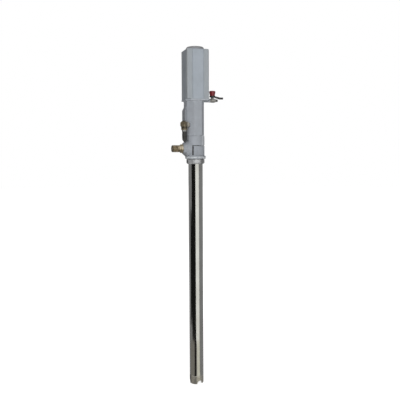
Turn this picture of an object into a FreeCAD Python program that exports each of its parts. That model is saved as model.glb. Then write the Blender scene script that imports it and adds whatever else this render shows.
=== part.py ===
import FreeCAD, Part
import math
import os
from types import SimpleNamespace

import Sketcher
from FreeCAD import Placement, Rotation, Vector

# A drum grease pump driven by compressed air, in millimetres.
# The origin is on the pump's axis, at the collar nut's lower end, where a drum's adapter
# stops. +Z runs up that axis, the grease outlet points to -X and the air inlet to +X.
# The moving pieces are at the bottom of their stroke and the air valve is open.

# Driving sizes

SIZES = {
    # Drive and clearances
    "stroke": 100,
    "running_gap": 0.08,
    "seat_gap": 0.3,
    "sleeve_gap": 0.15,
    "thread_gap": 0.1,
    "edge_break": 0.8,
    # Suction tube and its nut
    "tube_reach": 851,
    "tube_outer": 54,
    "tube_wall": 3,
    "tube_entry": 5.5,
    "tube_shoulder": 59.2,
    "tube_shoulder_height": 5,
    "gasket_height": 1.2,
    "tube_relief": 0.5,
    "nut_diameter": 68,
    "nut_height": 13.5,
    "nut_taper": 4,
    "nut_setback": 1.5,
    # Foot with its intake notches
    "foot_height": 32,
    "foot_spigot": 26,
    "foot_bore": 40,
    "notch_radius": 11,
    "notch_rise": 2,
    "notch_count": 3,
    "notch_turn": 14,
    # Priming shovel
    "shovel_rest": 20,
    "shovel_thickness": 5,
    "shovel_gap": 0.4,
    "shovel_rod_diameter": 10,
    "shovel_tip_diameter": 8,
    "shovel_tip_length": 8,
    "shovel_nut_width": 13,
    "shovel_nut_height": 6,
    "shovel_margin": 7,
    # Foot valve
    "foot_seat_height": 16,
    "foot_seat_bore": 18,
    "disc_diameter": 26,
    "disc_thickness": 6,
    "disc_lift": 6,
    "disc_margin": 3.7,
    # Pumping cylinder and piston
    "barrel_bore": 30,
    "barrel_margin": 6,
    "barrel_ring_height": 12,
    "barrel_ring_bore": 34,
    "pump_piston_length": 55,
    "pump_piston_gap": 0.4,
    "pump_piston_waist": 24,
    "pump_piston_land": 20,
    "pump_piston_bore": 20,
    "pump_piston_floor": 10,
    "pump_piston_roof": 17,
    "pump_seal_height": 5,
    "pump_seal_depth": 2,
    "pump_seal_pitch": 8,
    "port_diameter": 4.4,
    "port_circle": 15,
    "port_count": 4,
    "cross_hole_diameter": 6,
    "seat_ring_rise": 2,
    "seat_ring_height": 8,
    "seat_ring_bore": 9,
    "ball_diameter": 12,
    "ball_lift": 4,
    # Rods
    "rod_diameter": 18,
    "rod_tip_diameter": 14,
    "rod_tip_length": 15,
    "coupling_diameter": 26,
    "coupling_depth": 65,
    "connecting_rod_diameter": 16,
    # Pump head with the outlet
    "flange_diameter": 77,
    "flange_thickness": 11,
    "flange_bevel": 1.5,
    "head_diameter": 68,
    "head_height": 85,
    "spigot_diameter": 60,
    "spigot_length": 7,
    "chamber_bore": 40,
    "chamber_height": 46,
    "packing_floor": 4,
    "packing_bore": 26,
    "rod_clearance_bore": 20,
    "joint_diameter": 56,
    "joint_depth": 12,
    "rib_start": 13,
    "rib_height": 34.5,
    "rib_groove_radius": 1.3,
    "rib_count": 33,
    "rib_sweep": 244,
    "band_notch_radius": 2.6,
    "band_groove_height": 3,
    "band_groove_depth": 2.4,
    "outlet_rise": 38,
    "boss_diameter": 62,
    "boss_root": 21,
    "boss_reach": 50,
    "boss_cone": 13,
    "boss_end_diameter": 39,
    "outlet_bore": 18,
    "nipple_thread": 26.4,
    "nipple_depth": 14,
    "nipple_hex_width": 32,
    "nipple_hex_length": 9,
    "nipple_hex_bevel": 1.6,
    "nipple_length": 41,
    "nipple_waist": 24.6,
    # Packing of the rod
    "packing_height": 14,
    "gland_width": 27,
    "gland_head_height": 8,
    "lock_screw_diameter": 6,
    "lock_screw_drop": 6,
    # Motor body
    "column_right": 27,
    "column_left": 36,
    "column_half_depth": 34,
    "column_chamfer": 21,
    "column_bevel": 11,
    "column_height": 130,
    "column_round": 2.5,
    "plate_thickness": 5,
    "plate_chamfer": 16,
    "plate_fillet": 5,
    "chest_rise": 15,
    "chest_drop": 23,
    "chest_slope": 6,
    "chest_front": 8,
    "body_bore": 34,
    "body_bore_roof": 24,
    "valve_bore": 13,
    "valve_x": 28,
    "valve_y": 6,
    "spool_length": 78,
    "spool_travel": 10,
    "spool_waist": 8,
    "spool_land": 10,
    "spool_land_gap": 0.2,
    "spool_seal_height": 4,
    "spool_seal_depth": 1.5,
    "plug_length": 14,
    # Exhaust
    "exhaust_rise": 8.6,
    "exhaust_shift": 8,
    "exhaust_boss_diameter": 19,
    "exhaust_boss_length": 7,
    "exhaust_boss_root": 12,
    "exhaust_thread": 13.2,
    "exhaust_depth": 10,
    "exhaust_drilling": 8,
    "drilling_lap": 2,
    "elbow_collar_diameter": 20,
    "elbow_collar_length": 3,
    "elbow_neck_diameter": 18,
    "elbow_reach": 23.3,
    "elbow_hex_width": 25,
    "elbow_hex_length": 18,
    "elbow_hex_bevel": 2.2,
    "elbow_spout_diameter": 24,
    "elbow_spout_length": 20,
    "elbow_bore": 8.5,
    "silencer_thread": 13,
    "silencer_thread_length": 8,
    "silencer_hex_width": 16,
    "silencer_hex_height": 5,
    "silencer_diameter": 17.4,
    "silencer_length": 40,
    "silencer_bore": 10,
    "silencer_groove_depth": 1.2,
    "silencer_groove_height": 2.2,
    "silencer_groove_pitch": 5,
    # Air cylinder
    "cylinder_bore": 66,
    "cylinder_wall": 3,
    "head_margin": 0.6,
    "air_head_bevel": 4,
    "air_head_thickness": 16,
    "air_head_spigot": 4,
    "air_head_thread": 40,
    "air_head_thread_length": 7.7,
    "seal_housing_diameter": 26,
    "seal_housing_depth": 7,
    "bumper_height": 4,
    "bumper_inner": 28,
    "bumper_outer": 52,
    "air_piston_thickness": 16,
    "air_seal_height": 6,
    "air_seal_depth": 3.7,
    "air_piston_nut_width": 17,
    "air_piston_nut_height": 6.7,
    "head_recess_diameter": 24,
    "head_recess_depth": 10,
    "tie_rod_diameter": 6,
    "tie_rod_margin": 7.4,
    "tie_rod_depth": 11,
    "tie_nut_width": 10,
    "tie_nut_height": 6,
    "tie_rod_end": 2,
    # Cover
    "cylinder_margin": 3,
    "cover_headroom": 3.4,
    "cover_wall": 3,
    "cover_roof": 4,
    "cover_corner": 5,
    "cover_bevel": 2.5,
    "cover_hole": 48,
    "panel_half": 21,
    "panel_groove_width": 2.4,
    "panel_groove_depth": 0.9,
    "cap_diameter": 66,
    "cap_height": 10.5,
    "cap_bevel": 3,
    "cap_skirt": 7,
    "stud_diameter": 10,
    "stud_depth": 7,
    "stud_rise": 4,
    # Air inlet with its shut-off valve
    "inlet_drop": 2,
    "inlet_boss_diameter": 14.4,
    "inlet_boss_length": 15,
    "inlet_boss_root": 30,
    "inlet_thread": 9.7,
    "inlet_depth": 9,
    "lever_distance": 10,
    "valve_hex_width": 13,
    "valve_hex_length": 3,
    "valve_housing_diameter": 15.6,
    "valve_way": 7,
    "valve_ball_diameter": 12,
    "valve_seat_bore": 7.8,
    "valve_seat_thickness": 2.2,
    "ball_socket_rise": 4.6,
    "valve_end_length": 13.5,
    "valve_end_hex_length": 4.5,
    "valve_end_neck": 1.5,
    "stem_diameter": 6,
    "stem_boss_diameter": 10,
    "stem_boss_rise": 3.3,
    "hub_diameter": 22,
    "hub_height": 5,
    "hub_lift": 12.1,
    "lever_reach": 42.5,
    "lever_width": 11,
    "lever_thickness": 5,
    "lever_drop": 5.5,
    "lever_nut_width": 8,
    "lever_nut_height": 3,
    "cap_low_diameter": 19,
    "cap_top_diameter": 24,
    "lever_cap_height": 18.5,
    "lever_cap_round": 2.5,
    "lever_cap_recess": 12,
    "lever_cap_recess_depth": 4,
}


class Dim:
    """A length that carries its number and the sheet expression it comes from."""

    def __init__(self, number, text):
        self.number = number
        self.text = text

    def joined(self, sign, other, number):
        return Dim(number, f"({self.text} {sign} {as_dim(other).text})")

    def __add__(self, other):
        return self.joined("+", other, self.number + as_dim(other).number)

    def __sub__(self, other):
        return self.joined("-", other, self.number - as_dim(other).number)

    def __mul__(self, other):
        return self.joined("*", other, self.number * as_dim(other).number)

    def __truediv__(self, other):
        return self.joined("/", other, self.number / as_dim(other).number)

    def __neg__(self):
        return Dim(-self.number, f"(0 - {self.text})")


def as_dim(value):
    """A plain number becomes a Dim of its own."""
    if isinstance(value, Dim):
        return value
    return Dim(float(value), repr(value))


def root_of(radius, offset):
    """How far along an axis a ball of this radius reaches at the given distance from it."""
    number = math.sqrt(radius.number**2 - offset.number**2)
    return Dim(number, f"sqrt({radius.text} ^ 2 - {offset.text} ^ 2)")


def make_sheet(doc):
    """The spreadsheet with the driving sizes, and a namespace of the same sizes."""
    sheet = doc.addObject("Spreadsheet::Sheet", "sizes")
    named = {}
    for row, (name, number) in enumerate(SIZES.items(), start=1):
        sheet.set(f"A{row}", name)
        sheet.set(f"B{row}", str(number))
        sheet.setAlias(f"B{row}", name)
        named[name] = Dim(float(number), f"sizes.{name}")
    return SimpleNamespace(**named)


doc = FreeCAD.newDocument("drum_grease_pump")
s = make_sheet(doc)
doc.recompute()

# Levels along the pump's axis and radii that several pieces share

tube_bore_radius = s.tube_outer / 2 - s.tube_wall
sleeve_radius = tube_bore_radius - s.sleeve_gap
tube_seat_radius = s.tube_outer / 2 + s.sleeve_gap
foot_end = -s.tube_reach
foot_top = foot_end + s.foot_height
foot_spigot_top = foot_top + s.foot_spigot
shovel_bottom = foot_end + s.shovel_rest
shovel_top = shovel_bottom + s.shovel_thickness
priming_top = shovel_top + s.stroke + s.shovel_margin
seat_top = priming_top + s.foot_seat_height
disc_bottom = seat_top + s.seat_gap
disc_top = disc_bottom + s.disc_thickness
pump_piston_bottom = disc_top + s.disc_lift + s.disc_margin
pump_piston_top = pump_piston_bottom + s.pump_piston_length
barrel_top = pump_piston_top + s.stroke + s.barrel_margin
barrel_ring_top = barrel_top + s.barrel_ring_height
nut_low = s.nut_taper
nut_top = nut_low + s.nut_height
flange = nut_top + s.nut_setback
shoulder_top = flange - s.spigot_length
shoulder_bottom = shoulder_top - s.tube_shoulder_height
tube_top = flange + s.tube_entry
gasket_top = tube_top + s.gasket_height
outlet_level = flange + s.outlet_rise
chamber_top = flange + s.chamber_height
head_top = flange + s.head_height
packing_bottom = chamber_top + s.packing_floor
packing_top = packing_bottom + s.packing_height
joint_floor = head_top - s.joint_depth
plate_bottom = head_top + s.column_height
plate_top = plate_bottom + s.plate_thickness
chest_bottom = head_top + s.chest_rise
chest_top = plate_bottom - s.chest_drop
inlet_level = plate_top - s.inlet_drop
cover_half = s.cylinder_bore / 2 + s.cylinder_wall + s.cylinder_margin + s.cover_wall
air_head_half = cover_half - s.cover_wall - s.head_margin
tie_rod_offset = air_head_half - s.tie_rod_margin
inlet_boss_face = cover_half + s.inlet_boss_length
lever_x = inlet_boss_face + s.lever_distance
low_head_top = plate_top + s.air_head_thickness
low_spigot_top = low_head_top + s.air_head_spigot
bumper_top = low_spigot_top + s.bumper_height
air_piston_bottom = bumper_top + s.seat_gap
air_piston_top = air_piston_bottom + s.air_piston_thickness
high_bumper_bottom = air_piston_top + s.stroke + s.seat_gap
high_spigot_bottom = high_bumper_bottom + s.bumper_height
high_head_bottom = high_spigot_bottom + s.air_head_spigot
high_head_top = high_head_bottom + s.air_head_thickness
cover_top = high_head_top + s.tie_nut_height + s.tie_rod_end + s.cover_headroom + s.cover_roof
cover_height = cover_top - plate_top
coupling_top = flange - s.coupling_depth
coupling_middle = coupling_top - s.rod_tip_length
coupling_bottom = coupling_middle - s.rod_tip_length
rod_radius = s.rod_diameter / 2
rod_hole_radius = rod_radius + s.running_gap
rod_tip_radius = s.rod_tip_diameter / 2
connecting_radius = s.connecting_rod_diameter / 2
shovel_rod_radius = s.shovel_rod_diameter / 2
shovel_tip_radius = s.shovel_tip_diameter / 2
barrel_radius = s.barrel_bore / 2
air_bore_radius = s.cylinder_bore / 2

# The exhaust port is in a boss on the column's large chamfer, at 45 degrees

PORT_TURN = 45
HALF_DIAGONAL = math.sqrt(0.5)
facet_x = -(s.column_left - s.column_chamfer / 2)
facet_y = -(s.column_half_depth - s.column_chamfer / 2)
port_x = facet_x - (s.exhaust_boss_length + s.exhaust_shift) * HALF_DIAGONAL
port_y = facet_y - (s.exhaust_boss_length - s.exhaust_shift) * HALF_DIAGONAL
port_face = -(facet_x + facet_y) * HALF_DIAGONAL + s.exhaust_boss_length
port_side = (s.column_half_depth - s.column_left) * HALF_DIAGONAL - s.exhaust_shift
drilling_y = port_y + s.exhaust_depth * HALF_DIAGONAL - s.drilling_lap

# The inlet valve is built around its own ball, which lies under the lever

valve_ball_radius = s.valve_ball_diameter / 2
valve_cavity = valve_ball_radius + s.seat_gap
valve_seat_start = root_of(valve_ball_radius, s.valve_seat_bore / 2) + s.seat_gap
valve_seat_end = valve_seat_start + s.valve_seat_thickness
valve_boss_face = inlet_boss_face - lever_x

# The reversing valve's spool rests at the bottom of its bore

spool_bottom = plate_top - s.plug_length - s.seat_gap - s.spool_travel - s.spool_length
spool_floor = spool_bottom - s.seat_gap
spool_pitch = (s.spool_length - s.spool_land) / 2
exhaust_level = spool_floor + s.exhaust_rise

# The grease valve's ball rests on its seat, and the connecting rod's tip stops its lift

ball_seat_top = pump_piston_bottom + s.pump_piston_floor + s.seat_ring_rise + s.seat_ring_height
ball_middle = ball_seat_top + root_of(s.ball_diameter / 2, s.seat_ring_bore / 2) + s.seat_gap
ball_stop = ball_middle + s.ball_diameter / 2 + s.ball_lift + s.seat_gap

nodes = []

# Helpers for bodies, sketches and features


def new_body(label, x=0, y=0, z=0, turn=0):
    """An empty body for one sub-part, placed in the part's frame and turned about Z."""
    body = doc.addObject("PartDesign::Body", label)
    body.Label = label
    body.Placement = Placement(Vector(0, 0, 0), Rotation(Vector(0, 0, 1), turn))
    for axis, value in zip("xyz", (x, y, z)):
        body.setExpression(f"Placement.Base.{axis}", as_dim(value).text)
    nodes.append(body)
    return body


def origin_feature(body, role):
    """One of the body's own origin planes or axes."""
    return next(item for item in body.Origin.OriginFeatures if item.Role == role)


def new_sketch(body, plane, lift=0, rise=0, turn=0):
    """A sketch on an origin plane, moved along its normal (lift) and its own Y (rise)."""
    sketch = body.newObject("Sketcher::SketchObject", "Sketch")
    sketch.AttachmentSupport = [(origin_feature(body, plane), "")]
    sketch.MapMode = "FlatFace"
    sketch.AttachmentOffset = Placement(Vector(0, 0, 0), Rotation(Vector(0, 1, 0), turn))
    if turn:
        sketch.setExpression("AttachmentOffset.Base.x", (as_dim(lift) * math.sin(math.radians(turn))).text)
        sketch.setExpression("AttachmentOffset.Base.z", (as_dim(lift) * math.cos(math.radians(turn))).text)
    else:
        sketch.setExpression("AttachmentOffset.Base.z", as_dim(lift).text)
    sketch.setExpression("AttachmentOffset.Base.y", as_dim(rise).text)
    return sketch


def tie_point(sketch, item, point, x, y):
    """Ties a point of the sketch to its two sizes, or to an axis where a size is nought."""
    for kind, value, axis in (("DistanceX", as_dim(x), -2), ("DistanceY", as_dim(y), -1)):
        if value.number == 0 and "sizes" not in value.text:
            sketch.addConstraint(Sketcher.Constraint("PointOnObject", item, point, axis))
            continue
        rule = sketch.addConstraint(Sketcher.Constraint(kind, -1, 1, item, point, value.number))
        sketch.setExpression(f"Constraints[{rule}]", value.text)


def add_outline(sketch, points):
    """A closed outline of straight lines through the points."""
    first = sketch.GeometryCount
    places = [Vector(as_dim(x).number, as_dim(y).number, 0) for x, y in points]
    for start, end in zip(places, places[1:] + places[:1]):
        sketch.addGeometry(Part.LineSegment(start, end))
    for index, (x, y) in enumerate(points):
        following = first + (index + 1) % len(points)
        sketch.addConstraint(Sketcher.Constraint("Coincident", first + index, 2, following, 1))
        tie_point(sketch, first + index, 1, x, y)


def add_circle(sketch, radius, x=0, y=0):
    """A circle with its radius and centre tied to their sizes."""
    centre = Vector(as_dim(x).number, as_dim(y).number, 0)
    item = sketch.addGeometry(Part.Circle(centre, Vector(0, 0, 1), radius.number))
    rule = sketch.addConstraint(Sketcher.Constraint("Radius", item, radius.number))
    sketch.setExpression(f"Constraints[{rule}]", radius.text)
    tie_point(sketch, item, 3, x, y)


def turned(body, points, axis="V_Axis", rise=0, kind="Revolution"):
    """A full turn of an outline in the XZ plane, added to the body or cut from it."""
    sketch = new_sketch(body, "XZ_Plane", rise=rise)
    add_outline(sketch, points)
    feature = body.newObject(f"PartDesign::{kind}", kind)
    feature.Profile = sketch
    feature.ReferenceAxis = (sketch, [axis])
    feature.Angle = 360
    return feature


def extruded(body, sketch, length, kind="Pad", back=False, both=False):
    """A pad or a pocket of the sketch. back turns its direction round."""
    feature = body.newObject(f"PartDesign::{kind}", kind)
    feature.Profile = sketch
    feature.setExpression("Length", as_dim(length).text)
    feature.Reversed = back
    if both:
        feature.SideType = "Symmetric"
    return feature


def repeated(body, feature, count, angle=360):
    """Copies of a feature round the Z axis."""
    pattern = body.newObject("PartDesign::PolarPattern", "Pattern")
    pattern.Originals = [feature]
    pattern.Axis = (origin_feature(body, "Z_Axis"), [""])
    pattern.setExpression("Angle", as_dim(angle).text)
    pattern.setExpression("Occurrences", count.text)
    body.Tip = pattern
    return pattern


def eased(body, size, pick, kind="Fillet"):
    """Fillets or chamfers the edges of the body so far that pick chooses."""
    doc.recompute()
    base = body.Tip
    names = [f"Edge{number}" for number, edge in enumerate(base.Shape.Edges, start=1) if pick(edge)]
    feature = body.newObject(f"PartDesign::{kind}", kind)
    feature.Base = (base, names)
    feature.setExpression("Radius" if kind == "Fillet" else "Size", size.text)
    return feature


def bored_ring(body, inner, outer, bottom, top):
    """A plain ring round the Z axis."""
    return turned(body, [(inner, bottom), (outer, bottom), (outer, top), (inner, top)])


def hexagon(width, point_up=False):
    """The corners of a hexagon of the given width across its flats."""
    corner = width / 2 / math.cos(math.radians(30))
    start = 90 if point_up else 0
    angles = [math.radians(start + 60 * step) for step in range(6)]
    return [(corner * math.cos(angle), corner * math.sin(angle)) for angle in angles]


def upright(edge):
    """True for a straight edge along Z."""
    box = edge.BoundBox
    return box.XLength < 0.01 and box.YLength < 0.01


def square_points(offset):
    """The four places at plus and minus the offset."""
    return [(offset, offset), (-offset, offset), (-offset, -offset), (offset, -offset)]


# Suction tube, foot and the nut that holds the tube


def make_pump_tube():
    body = new_body("pump_tube")
    outer = s.tube_outer / 2
    shoulder = s.tube_shoulder / 2
    turned(body, [
        (tube_bore_radius, foot_top),
        (outer - s.edge_break, foot_top),
        (outer, foot_top + s.edge_break),
        (outer, 0),
        (outer - s.tube_relief, 0),
        (outer - s.tube_relief, shoulder_bottom),
        (shoulder, shoulder_bottom),
        (shoulder, shoulder_top),
        (outer, shoulder_top),
        (outer, tube_top),
        (tube_bore_radius, tube_top),
    ])


def make_tube_gasket():
    body = new_body("tube_gasket")
    bored_ring(body, tube_bore_radius, s.tube_outer / 2, tube_top, gasket_top)


def make_collar_nut():
    body = new_body("collar_nut")
    outer = s.nut_diameter / 2
    turned(body, [
        (s.spigot_diameter / 2 + s.sleeve_gap, nut_top),
        (outer - s.edge_break, nut_top),
        (outer, nut_top - s.edge_break),
        (outer, nut_low),
        (outer - s.nut_taper, 0),
        (tube_seat_radius, 0),
        (tube_seat_radius, shoulder_bottom),
        (s.spigot_diameter / 2 + s.sleeve_gap, shoulder_bottom),
    ])


def make_foot_cage():
    body = new_body("foot_cage", turn=SIZES["notch_turn"])
    outer = s.tube_outer / 2
    turned(body, [
        (s.foot_bore / 2, foot_end),
        (outer - s.edge_break, foot_end),
        (outer, foot_end + s.edge_break),
        (outer, foot_top - s.edge_break),
        (outer - s.edge_break, foot_top),
        (sleeve_radius, foot_top),
        (sleeve_radius, foot_spigot_top),
        (s.foot_bore / 2, foot_spigot_top),
    ])
    sketch = new_sketch(body, "XZ_Plane")
    add_circle(sketch, s.notch_radius, 0, foot_end + s.notch_rise)
    notch = extruded(body, sketch, s.tube_outer, kind="Pocket", back=True)
    repeated(body, notch, s.notch_count)


# Fixed pieces of the pump inside the tube


def make_priming_cylinder():
    body = new_body("priming_cylinder")
    bored_ring(body, s.foot_bore / 2, sleeve_radius, foot_spigot_top, priming_top)


def make_foot_valve_seat():
    body = new_body("foot_valve_seat")
    lip = s.foot_seat_bore / 2
    turned(body, [
        (lip, priming_top),
        (sleeve_radius, priming_top),
        (sleeve_radius, seat_top),
        (lip + s.edge_break, seat_top),
        (lip, seat_top - s.edge_break),
    ])


def make_pump_cylinder():
    body = new_body("pump_cylinder")
    bored_ring(body, barrel_radius, sleeve_radius, seat_top, barrel_top)


def make_cylinder_ring():
    body = new_body("cylinder_ring")
    bored_ring(body, s.barrel_ring_bore / 2, sleeve_radius, barrel_top, barrel_ring_top)


# Moving pieces of the pump inside the tube


def make_foot_valve_disc():
    body = new_body("foot_valve_disc")
    bored_ring(body, shovel_rod_radius + s.seat_gap, s.disc_diameter / 2, disc_bottom, disc_top)


def make_pump_piston():
    body = new_body("pump_piston")
    outer = barrel_radius - s.pump_piston_gap
    land_top = pump_piston_bottom + s.pump_piston_land
    cavity_floor = pump_piston_bottom + s.pump_piston_floor
    cavity_roof = pump_piston_top - s.pump_piston_roof
    turned(body, [
        (shovel_tip_radius + s.thread_gap, pump_piston_bottom),
        (outer, pump_piston_bottom),
        (outer, land_top),
        (s.pump_piston_waist / 2, land_top),
        (s.pump_piston_waist / 2, pump_piston_top),
        (rod_tip_radius + s.thread_gap, pump_piston_top),
        (rod_tip_radius + s.thread_gap, cavity_roof),
        (s.pump_piston_bore / 2, cavity_roof),
        (s.pump_piston_bore / 2, cavity_floor),
        (shovel_tip_radius + s.thread_gap, cavity_floor),
    ])
    for place in (1, 2):
        low = pump_piston_bottom + s.pump_seal_pitch * place - s.pump_seal_height
        turned(body, [
            (outer - s.pump_seal_depth, low),
            (barrel_radius, low),
            (barrel_radius, low + s.pump_seal_height),
            (outer - s.pump_seal_depth, low + s.pump_seal_height),
        ], kind="Groove")
    ports = new_sketch(body, "XY_Plane", lift=pump_piston_bottom)
    add_circle(ports, s.port_diameter / 2, s.port_circle / 2, 0)
    port = extruded(body, ports, s.pump_piston_floor, kind="Pocket", back=True)
    repeated(body, port, s.port_count)
    holes = new_sketch(body, "XZ_Plane")
    add_circle(holes, s.cross_hole_diameter / 2, 0, cavity_roof - s.cross_hole_diameter)
    hole = extruded(body, holes, s.barrel_bore, kind="Pocket", back=True)
    repeated(body, hole, s.port_count)


def make_pump_piston_seals():
    body = new_body("pump_piston_seals")
    inner = barrel_radius - s.pump_piston_gap - s.pump_seal_depth
    outer = barrel_radius - s.running_gap
    for place in (1, 2):
        low = pump_piston_bottom + s.pump_seal_pitch * place - s.pump_seal_height
        bored_ring(body, inner, outer, low, low + s.pump_seal_height)


def make_piston_seat():
    body = new_body("piston_seat")
    low = pump_piston_bottom + s.pump_piston_floor + s.seat_ring_rise
    top = low + s.seat_ring_height
    bore = s.seat_ring_bore / 2
    turned(body, [
        (bore, low),
        (s.pump_piston_bore / 2 - s.thread_gap, low),
        (s.pump_piston_bore / 2 - s.thread_gap, top),
        (bore, top),
    ])


def make_piston_ball():
    ball = doc.addObject("Part::Sphere", "piston_ball")
    ball.Label = "piston_ball"
    ball.setExpression("Radius", (s.ball_diameter / 2).text)
    ball.setExpression("Placement.Base.z", ball_middle.text)
    nodes.append(ball)


def make_connecting_rod():
    body = new_body("connecting_rod")
    turned(body, [
        (0, ball_stop),
        (rod_tip_radius, ball_stop),
        (rod_tip_radius, pump_piston_top),
        (connecting_radius, pump_piston_top),
        (connecting_radius, coupling_bottom),
        (rod_tip_radius, coupling_bottom),
        (rod_tip_radius, coupling_middle - s.seat_gap),
        (0, coupling_middle - s.seat_gap),
    ])


def make_rod_coupling():
    body = new_body("rod_coupling")
    outer = s.coupling_diameter / 2
    bore = rod_tip_radius + s.thread_gap
    turned(body, [
        (bore, coupling_bottom),
        (outer - s.edge_break, coupling_bottom),
        (outer, coupling_bottom + s.edge_break),
        (outer, coupling_top - s.edge_break),
        (outer - s.edge_break, coupling_top),
        (bore, coupling_top),
    ])


def make_motor_rod():
    body = new_body("motor_rod")
    end = air_piston_top + s.air_piston_nut_height + s.edge_break
    turned(body, [
        (0, coupling_middle),
        (rod_tip_radius, coupling_middle),
        (rod_tip_radius, coupling_top),
        (rod_radius, coupling_top),
        (rod_radius, air_piston_bottom),
        (rod_tip_radius, air_piston_bottom),
        (rod_tip_radius, end),
        (0, end),
    ])


def make_shovel_rod():
    body = new_body("shovel_rod")
    low = shovel_bottom - s.shovel_nut_height - s.edge_break
    turned(body, [
        (0, low),
        (shovel_tip_radius, low),
        (shovel_tip_radius, shovel_top),
        (shovel_rod_radius, shovel_top),
        (shovel_rod_radius, pump_piston_bottom),
        (shovel_tip_radius, pump_piston_bottom),
        (shovel_tip_radius, pump_piston_bottom + s.shovel_tip_length),
        (0, pump_piston_bottom + s.shovel_tip_length),
    ])


def make_shovel_plate():
    body = new_body("shovel_plate")
    outer = s.foot_bore / 2 - s.shovel_gap
    turned(body, [
        (shovel_tip_radius + s.thread_gap, shovel_bottom),
        (outer - s.edge_break, shovel_bottom),
        (outer, shovel_bottom + s.edge_break),
        (outer, shovel_top),
        (shovel_tip_radius + s.thread_gap, shovel_top),
    ])


def make_shovel_nut():
    body = new_body("shovel_nut")
    sketch = new_sketch(body, "XY_Plane", lift=shovel_bottom - s.shovel_nut_height)
    add_outline(sketch, hexagon(s.shovel_nut_width))
    add_circle(sketch, shovel_tip_radius + s.thread_gap)
    extruded(body, sketch, s.shovel_nut_height)


# Pump head with the outlet boss, its nipple and the rod's packing


def make_outlet_body():
    body = new_body("outlet_body")
    head = s.head_diameter / 2
    rim = s.flange_diameter / 2
    flange_top = flange + s.flange_thickness
    rib_low = flange + s.rib_start
    band_top = rib_low + s.rib_height
    groove_floor = head - s.band_groove_depth
    turned(body, [
        (tube_seat_radius, shoulder_top),
        (s.spigot_diameter / 2, shoulder_top),
        (s.spigot_diameter / 2, flange),
        (rim - s.flange_bevel, flange),
        (rim, flange + s.flange_bevel),
        (rim, flange_top - s.flange_bevel),
        (rim - s.flange_bevel, flange_top),
        (head, flange_top),
        (head, band_top),
        (groove_floor, band_top),
        (groove_floor, band_top + s.band_groove_height),
        (head, band_top + s.band_groove_height),
        (head, head_top),
        (s.joint_diameter / 2, head_top),
        (s.joint_diameter / 2, joint_floor),
        (s.packing_bore / 2, joint_floor),
        (s.packing_bore / 2, packing_bottom),
        (s.rod_clearance_bore / 2, packing_bottom),
        (s.rod_clearance_bore / 2, chamber_top),
        (s.chamber_bore / 2, chamber_top),
        (s.chamber_bore / 2, gasket_top),
        (tube_seat_radius, gasket_top),
    ])
    cone_start = s.boss_reach - s.boss_cone
    turned(body, [
        (-s.boss_root, 0),
        (-s.boss_root, s.boss_diameter / 2),
        (-cone_start, s.boss_diameter / 2),
        (-s.boss_reach, s.boss_end_diameter / 2),
        (-s.boss_reach, 0),
    ], axis="H_Axis", rise=outlet_level)
    thread = s.nipple_thread / 2 + s.thread_gap
    thread_floor = s.boss_reach - s.nipple_depth
    turned(body, [
        (-s.boss_reach, 0),
        (-s.boss_reach, thread),
        (-thread_floor, thread),
        (-thread_floor, s.outlet_bore / 2),
        (-rod_radius, s.outlet_bore / 2),
        (-rod_radius, 0),
    ], axis="H_Axis", rise=outlet_level, kind="Groove")
    start = math.radians(-SIZES["rib_sweep"] / 2)
    ribs = new_sketch(body, "XY_Plane", lift=rib_low)
    add_circle(ribs, s.rib_groove_radius, head * math.cos(start), head * math.sin(start))
    rib = extruded(body, ribs, s.rib_height, kind="Pocket", back=True)
    repeated(body, rib, s.rib_count, s.rib_sweep)
    for side in (-1, 1):
        notch = new_sketch(body, "XY_Plane", lift=rib_low)
        add_circle(notch, s.band_notch_radius, head * math.cos(start), head * (side * math.sin(start)))
        extruded(body, notch, s.rib_height, kind="Pocket", back=True)
    lock = new_sketch(body, "YZ_Plane", rise=0)
    add_circle(lock, s.lock_screw_diameter / 2 + s.thread_gap, 0, head_top - s.lock_screw_drop)
    extruded(body, lock, s.head_diameter, kind="Pocket", back=True)


def make_outlet_nipple():
    body = new_body("outlet_nipple", x=-s.boss_reach, z=outlet_level)
    thread = s.nipple_thread / 2
    waist = s.nipple_waist / 2
    bore = s.outlet_bore / 2
    neck = -s.nipple_hex_length - s.edge_break * 2
    turned(body, [
        (s.nipple_depth, bore),
        (s.nipple_depth, thread),
        (0, thread),
        (-s.nipple_hex_length, waist),
        (neck, waist),
        (neck, thread),
        (s.edge_break - s.nipple_length, thread),
        (-s.nipple_length, thread - s.edge_break),
        (-s.nipple_length, bore),
    ], axis="H_Axis")
    nut = new_sketch(body, "YZ_Plane", lift=-s.nipple_hex_length)
    add_outline(nut, hexagon(s.nipple_hex_width))
    add_circle(nut, bore + s.edge_break)
    extruded(body, nut, s.nipple_hex_length)
    flat = s.nipple_hex_width / 2
    corner = s.nipple_hex_width
    turned(body, [
        (-s.nipple_hex_length, flat - s.edge_break),
        (-s.nipple_hex_length, corner),
        (s.nipple_hex_bevel * 2 - s.nipple_hex_length, corner),
        (s.nipple_hex_bevel - s.nipple_hex_length, flat + s.nipple_hex_bevel),
    ], axis="H_Axis", kind="Groove")


def make_rod_packing():
    body = new_body("rod_packing")
    outer = s.packing_bore / 2 - s.thread_gap
    bored_ring(body, rod_hole_radius, outer, packing_bottom, packing_top)


def make_gland_nut():
    body = new_body("gland_nut")
    shank_top = joint_floor + s.seat_gap
    bored_ring(body, rod_hole_radius, s.packing_bore / 2 - s.thread_gap, packing_top, shank_top)
    sketch = new_sketch(body, "XY_Plane", lift=shank_top)
    add_outline(sketch, hexagon(s.gland_width))
    add_circle(sketch, rod_hole_radius)
    extruded(body, sketch, s.gland_head_height)


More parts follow.
